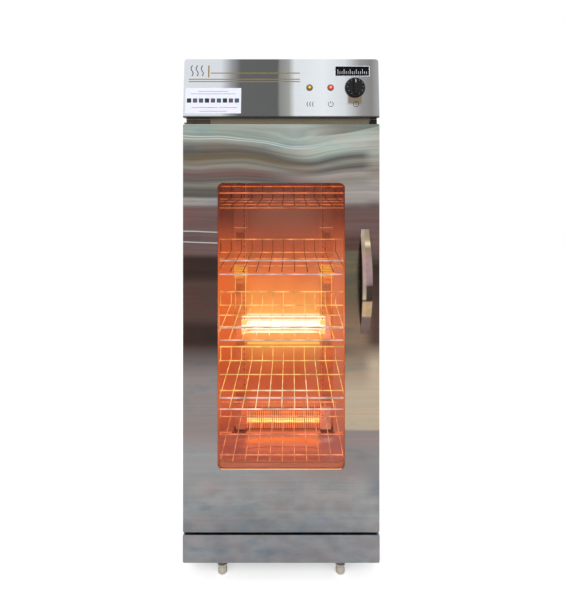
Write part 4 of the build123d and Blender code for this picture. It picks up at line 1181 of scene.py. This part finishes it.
def arc(radius, start, stop, count):
    return [onCircle(radius, math.radians(start + (stop - start) * k / count)) for k in range(count + 1)]


def heatWaves(centre, gap, swing, bend, step, count, radius=0.0010):
    # three waving lines side by side, each about as far below the centre as above it
    low = -step * (count - 1) / 2
    waves = [[(side * gap + swing * math.sin(k * bend), low + step * k) for k in range(count)] for side in (-1, 0, 1)]
    return [symbolLine(centre, points, radius) for points in waves]


signs = {"waves": (0.095, 1.577), "power": (0.164, 1.577), "clock": (0.248, 1.577), "mark": (-0.281, 1.690)}


def buildSymbols():
    # heat waves, a power sign and a clock under the controls, and a heat mark at the top left
    parts = heatWaves(signs["waves"], 0.009, 0.0018, 0.9, 0.0016, 11)
    parts.append(symbolLine(signs["power"], arc(0.0085, 125, 415, 16)))
    parts.append(symbolLine(signs["power"], [(0, 0.002), (0, 0.0105)]))
    parts.append(symbolLine(signs["clock"], arc(0.0090, 0, 345, 20), closed=True))
    parts.append(symbolLine(signs["clock"], [(0, 0.0062), (0, 0), (0.0045, -0.0030)]))
    return gather(parts + heatWaves(signs["mark"], 0.017, 0.0036, 0.55, 0.003, 13, 0.0014))


showPiece("panel_symbols", buildSymbols(), "cabinet")

lampShape = {"x": {"amber": 0.094, "red": 0.164}, "flange": 0.011, "lens": 0.0085, "dome": 0.0042, "seat": 0.0032,
             "side": 0.013, "barrel": 0.024}
lampTones = {"amber": ((132, 92, 20), (250, 214, 60)), "red": ((214, 10, 22), (255, 190, 110))}
for lampName, (rimTone, heartTone) in lampTones.items():
    centre = onPanel(lampShape["x"][lampName], panelShape["control"], 0.006).translation
    lensMaterial(lampName + "Lens", rimTone, heartTone, tuple(centre))


def buildBezels():
    p, r, lens = lampShape, lampShape["flange"], lampShape["lens"]
    ring = [(lens - 0.0004, 0.0014), (lens + 0.0002, 0.0030), (r - 0.0012, 0.0030), (r - 0.0003, 0.0022), (r, 0.0010),
            (r, 0.0), (0.004, 0.0), (0.004, 0.0012)]
    parts = []
    for place in [onPanel(x, panelShape["control"]) for x in p["x"].values()]:
        parts.append(lathe(ring, "lampRing", 40, place))
        parts.append(softBox((p["side"], p["side"], p["barrel"]), (0, 0, -p["barrel"] / 2), "blackPlastic", 0.0008, 2,
                             place))
    return gather(parts)


showPiece("lamp_rings", buildBezels(), "cabinet", ["lamp_bezels"])
for lampName, x in lampShape["x"].items():
    profile = [(0, 0.0016), (lampShape["lens"], 0.0016), (lampShape["lens"], lampShape["seat"])]
    for turn in quarter(7)[1:]:
        profile.append((lampShape["lens"] * math.cos(turn), lampShape["seat"] + lampShape["dome"] * math.sin(turn)))
    lens = lathe(profile, lampName + "Lens", 40, onPanel(x, panelShape["control"]))
    showPiece("lamp_dome_" + lampName, lens, "cabinet", ["lamp_lens_" + lampName])

knobShape = {"skirt": 0.034, "shoulder": 0.029, "gap": 0.001, "skirtTop": 0.013, "top": 0.022, "grip": 0.0065,
             "shaft": 0.003, "shaftLength": 0.029, "marks": 11}


def buildKnob():
    k = knobShape
    place = onPanel(panelShape["knobX"], panelShape["control"])
    skirt, shoulder, gap, level, top = [k[key] for key in ("skirt", "shoulder", "gap", "skirtTop", "top")]
    body = [(0, gap), (skirt - 0.001, gap), (skirt, gap + 0.001), (skirt - 0.0003, gap + 0.003),
            (shoulder + 0.0012, level - 0.0012), (shoulder + 0.0003, level - 0.0002), (shoulder - 0.001, level),
            (0, level)]
    reach, loops = shoulder - 0.003, []
    for height, inset in ((level - 0.0005, 0.0), (level + 0.004, 0.0003), (top - 0.0018, 0.0010),
                          (top - 0.0005, 0.0018), (top, 0.0034)):
        loop = roundedLoop(k["grip"] - inset, reach - inset, k["grip"] - inset - 0.0002)
        loops.append([place @ Vector((x, y, height)) for x, y in loop])
    shaft = [(0, -k["shaftLength"]), (k["shaft"], -k["shaftLength"]), (k["shaft"], gap + 0.0005), (0, gap + 0.0005)]
    parts = [lathe(body, "blackPlastic", 72, place), bridged(loops, "blackPlastic", True),
             lathe(shaft, "brightSteel", 32, place),
             softBox((0.0016, 0.011, 0.0005), (0, reach - 0.0085, top + 0.0001), "whitePlate", 0.0001, 1, place)]
    for index in range(k["marks"]):
        turn = Matrix.Rotation(math.radians(150 - 30 * index), 4, "Z")
        parts.append(softBox((0.0010, 0.0032, 0.0004), (0, shoulder - 0.0032, level), "dimPrint", 0.0001, 1,
                             place @ turn))
    return gather(parts)


showPiece("knob_turned", buildKnob(), "timer_knob", ["timer_knob"])
print("control panel built")


rackShape = {"levels": {"rack_1": 1.225, "rack_2": 0.993, "rack_3": 0.763, "rack_4": 0.522, "rack_5": 0.279},
             "frontRail": -0.193, "backRail": 0.219, "half": 0.281, "rail": 0.054, "railRadius": 0.00275,
             "rodRadius": 0.00225, "wireRadius": 0.0016, "frontRod": -0.166, "rodStep": 0.123, "rods": 4,
             "wireStep": 0.0457, "side": 6}


def buildRack():
    # one rack with its front floor rod's middle at height 0
    r = rackShape
    half, front, rail, wire = r["half"], r["frontRod"], r["rail"], r["wireRadius"]
    corners = [(-half, r["frontRail"], rail), (half, r["frontRail"], rail), (half, r["backRail"], rail),
               (-half, r["backRail"], rail)]
    head = rail - r["railRadius"] * 0.6
    cradle = [(-half, front, head), (-half, front, 0), (half, front, 0), (half, front, head)]
    wireX, wireZ = -r["side"] * r["wireStep"], r["rodRadius"] + wire - 0.0002
    riser = r["backRail"] - r["railRadius"] - wire + 0.0002
    bent = [(wireX, front - r["rodRadius"], wireZ), (wireX, riser, wireZ), (wireX, riser, rail + 0.0014)]
    return gather([rod(corners, r["railRadius"], 0.009, 10, "rackRods", closed=True),
                   rod(cradle, r["rodRadius"], 0.012, 8, "rackRods", r["rods"], (0.0, r["rodStep"], 0.0)),
                   rod(bent, wire, 0.008, 7, "rackWires", 2 * r["side"] + 1, (r["wireStep"], 0.0, 0.0))])


rackMesh = buildRack()
for rackName, level in rackShape["levels"].items():
    rack = rackMesh.copy()
    rack.transform(Matrix.Translation((0, 0, level)))
    rack.update()
    showPiece(rackName + "_wires", rack, rackName, [rackName])
print("racks built")


coilShape = {"half": 0.1625, "offset": 0.020, "radius": 0.0034, "wire": 0.00075, "turns": 38.0}
for heaterName in ("upper", "lower"):
    starts = [(-coilShape["half"], glowPlaces["tubeY"], glowPlaces[heaterName] + side * coilShape["offset"])
              for side in (-1, 1)]
    coil = grow(heatingCoil, starts, Turns=coilShape["turns"], Coil_Radius=coilShape["radius"],
                Length=2 * coilShape["half"], Wire_Radius=coilShape["wire"], Material=paints[heaterName + "HotWire"])
    showPiece("coils_" + heaterName, coil, "cabinet", ["filaments_" + heaterName])
print("heating coils built")


def copiedUp(points, faces, count, step, paintName):
    # closed forms copied at even steps upwards
    return turnOutwards(grow(copyRow, points, (), faces, Copies=count, Step=(0.0, 0.0, step),
                             Material=paints[paintName]))


stripShape = {"x": 0.1745, "y": 0.2455, "low": 0.212, "step": 0.0228, "count": 53, "pad": (0.00225, 0.0055),
              "depth": 0.0009}


def buildStripHoles():
    # pressed slots up each face of the two back uprights, painted dark as the shade inside them
    s, parts = stripShape, []
    halfX, halfZ = s["pad"]
    loop = roundedLoop(halfX, halfZ, halfX * 0.95, 3)
    count = len(loop)
    faces = [tuple(range(count)), tuple(reversed(range(count, 2 * count)))]
    faces += [(k, (k + 1) % count, count + (k + 1) % count, count + k) for k in range(count)]
    for side in (-1, 1):
        points = [(side * s["x"] + x, s["y"] - depth, s["low"] + z) for depth in (0.0, s["depth"]) for x, z in loop]
        parts.append(copiedUp(points, faces, s["count"], s["step"], "slotShade"))
    return gather(parts)


showPiece("upright_slots", buildStripHoles(), "cabinet")

screwShape = {"aboveRack": 0.06925, "stripX": 0.1915, "stripY": 0.2448, "sideX": 0.2898, "sideY": -0.120,
              "backY": 0.280, "edgeX": 0.315, "edgeZ": (0.075, 0.36, 0.66, 0.96, 1.26, 1.52, 1.715),
              "rowX": (-0.16, 0.0, 0.16), "rowZ": (0.071, 1.718), "head": 0.0042, "rise": 0.55}


def buildScrews():
    s = screwShape
    tops = [level + s["aboveRack"] for level in rackShape["levels"].values()]
    back = [(x, s["backY"], z) for z in s["edgeZ"] for x in (-s["edgeX"], s["edgeX"])]
    back += [(x, s["backY"], z) for x in s["rowX"] for z in s["rowZ"]]
    rows = {
        "front": ([(side * s["stripX"], s["stripY"], top) for top in tops for side in (-1, 1)], (math.pi / 2, 0, 0)),
        "back": (back, (-math.pi / 2, 0, 0)),
        "sideLeft": ([(-s["sideX"], s["sideY"], top) for top in tops], (0, math.pi / 2, 0)),
        "sideRight": ([(s["sideX"], s["sideY"], top) for top in tops], (0, -math.pi / 2, 0)),
    }
    for rowName, (spots, turn) in rows.items():
        heads = grow(screwField, spots, Head_Radius=s["head"], Rise=s["rise"], Turn=turn,
                     Material=paints["brightSteel" if rowName == "back" else "slotShade"])
        showPiece("screws_" + rowName, heads, "cabinet")


buildScrews()

louvreShape = {"banks": (-0.130, 0.130), "low": 1.603, "step": 0.013, "count": 6, "half": 0.048, "rise": 0.007,
               "depth": 0.005, "back": 0.280, "shrink": 0.0008, "thick": 0.0009}


def buildLouvres():
    # pressed hoods over the vent slots
    v, parts = louvreShape, []
    rows = [(v["back"] + v["depth"] * math.sin(turn), v["low"] - v["rise"] * (1 - math.cos(turn)))
            for turn in quarter(7)]
    under, last = 2 * len(rows), 2 * len(rows) - 2  # first point of the inner skin, and of the last row
    faces = [(0, under, under + 1, 1), (last, last + 1, under + last + 1, under + last)]
    for a in range(0, last, 2):
        b = under + a
        faces += [(a, a + 1, a + 3, a + 2), (b, b + 2, b + 3, b + 1), (a, a + 2, b + 2, b),
                  (a + 1, b + 1, b + 3, a + 3)]
    for bank in v["banks"]:
        points = [(bank + side * (v["half"] - shrink), max(y - thick, v["back"] - 0.0002), z - thick)
                  for shrink, thick in ((0.0, 0.0), (v["shrink"], v["thick"])) for y, z in rows for side in (-1, 1)]
        parts.append(copiedUp(points, faces, v["count"], v["step"], "zincSheet"))
    return gather(parts)


showPiece("vent_hoods", buildLouvres(), "cabinet")

footPlaces = {"foot_front_left": (-0.199, -0.212), "foot_front_right": (0.199, -0.212),
              "foot_back_left": (-0.199, 0.235), "foot_back_right": (0.199, 0.235)}
footProfile = [(0, 0.0), (0.0140, 0.0), (0.0152, 0.0012), (0.0155, 0.0040), (0.0152, 0.0085), (0.0142, 0.0135),
               (0.0130, 0.0175), (0.0126, 0.0205), (0.0138, 0.0240), (0.0160, 0.0262), (0.0173, 0.0278),
               (0.0175, 0.0300), (0.0172, 0.0322), (0.0160, 0.0330), (0.0060, 0.0332), (0.00495, 0.0340),
               (0.00495, 0.0825), (0.0040, 0.0840), (0, 0.0840)]
for footName, (x, y) in footPlaces.items():
    foot = lathe(footProfile, "nickelFoot", 48, Matrix.Translation((x, y, 0)))
    showPiece(footName + "_turned", foot, footName, [footName])
print("small parts built")


floorShader = newMaterial("whiteFloor", (246, 246, 246), 0.0, 0.6)
floorTree = floorShader.id_data
paper = addNode(floorTree, "ShaderNodeTexNoise", {"Scale": 40.0})
paintWith(floorShader, mix(Field(paper.outputs[0]), (242, 242, 242), (250, 250, 250)))
seen = Field(addNode(floorTree, "ShaderNodeLightPath").outputs["Is Camera Ray"])
shineWith(floorShader, white, seen * 0.42)
floor = addObject("floor", meshFrom([(-4, -4, 0), (4, -4, 0), (4, 5, 0), (-4, 5, 0)], [(0, 1, 2, 3)], "whiteFloor"))

world = bpy.data.worlds.new("studio")
bpy.context.scene.world = world
world.use_nodes = True
worldTree = world.node_tree
worldTree.nodes.clear()
isDiffuse = addNode(worldTree, "ShaderNodeLightPath").outputs["Is Diffuse Ray"]
bright, soft = [addNode(worldTree, "ShaderNodeBackground", {"Color": white, "Strength": strength})
                for strength in (1.0, 0.55)]
studio = addNode(worldTree, "ShaderNodeMixShader", {0: isDiffuse, 1: bright, 2: soft})
addNode(worldTree, "ShaderNodeOutputWorld", {0: studio})


def addArea(name, place, target, side, power):
    lamp = bpy.data.lights.new(name, "AREA")
    lamp.shape = "RECTANGLE"
    lamp.size = lamp.size_y = side
    lamp.energy = power
    holder = addObject(name, lamp)
    holder.location = place
    holder.rotation_euler = (Vector(target) - Vector(place)).to_track_quat("-Z", "Y").to_euler()
    holder.visible_glossy = False


addArea("keyLight", (-1.6, -2.4, 2.6), (0, 0, 0.9), 1.6, 40)
addArea("fillLight", (2.0, -2.0, 1.8), (0, 0, 0.8), 1.4, 24)
addArea("topLight", (0.2, 0.4, 3.4), (0, 0, 0), 2.0, 26)

cameraShape = {"place": (0.029, -1.670, 1.382), "lens": 25.39, "shiftX": -7 / 610, "shiftY": -142 / 610}
cameraData = bpy.data.cameras.new("camera")
cameraData.sensor_width = 36
cameraData.sensor_fit = "AUTO"
cameraData.lens = cameraShape["lens"]
cameraData.shift_x = cameraShape["shiftX"]
cameraData.shift_y = cameraShape["shiftY"]
camera = addObject("camera", cameraData)
camera.location = cameraShape["place"]
camera.rotation_euler = (math.radians(90), 0, 0)
bpy.context.scene.camera = camera
bpy.context.scene.view_settings.view_transform = "Standard"

print("scene built")
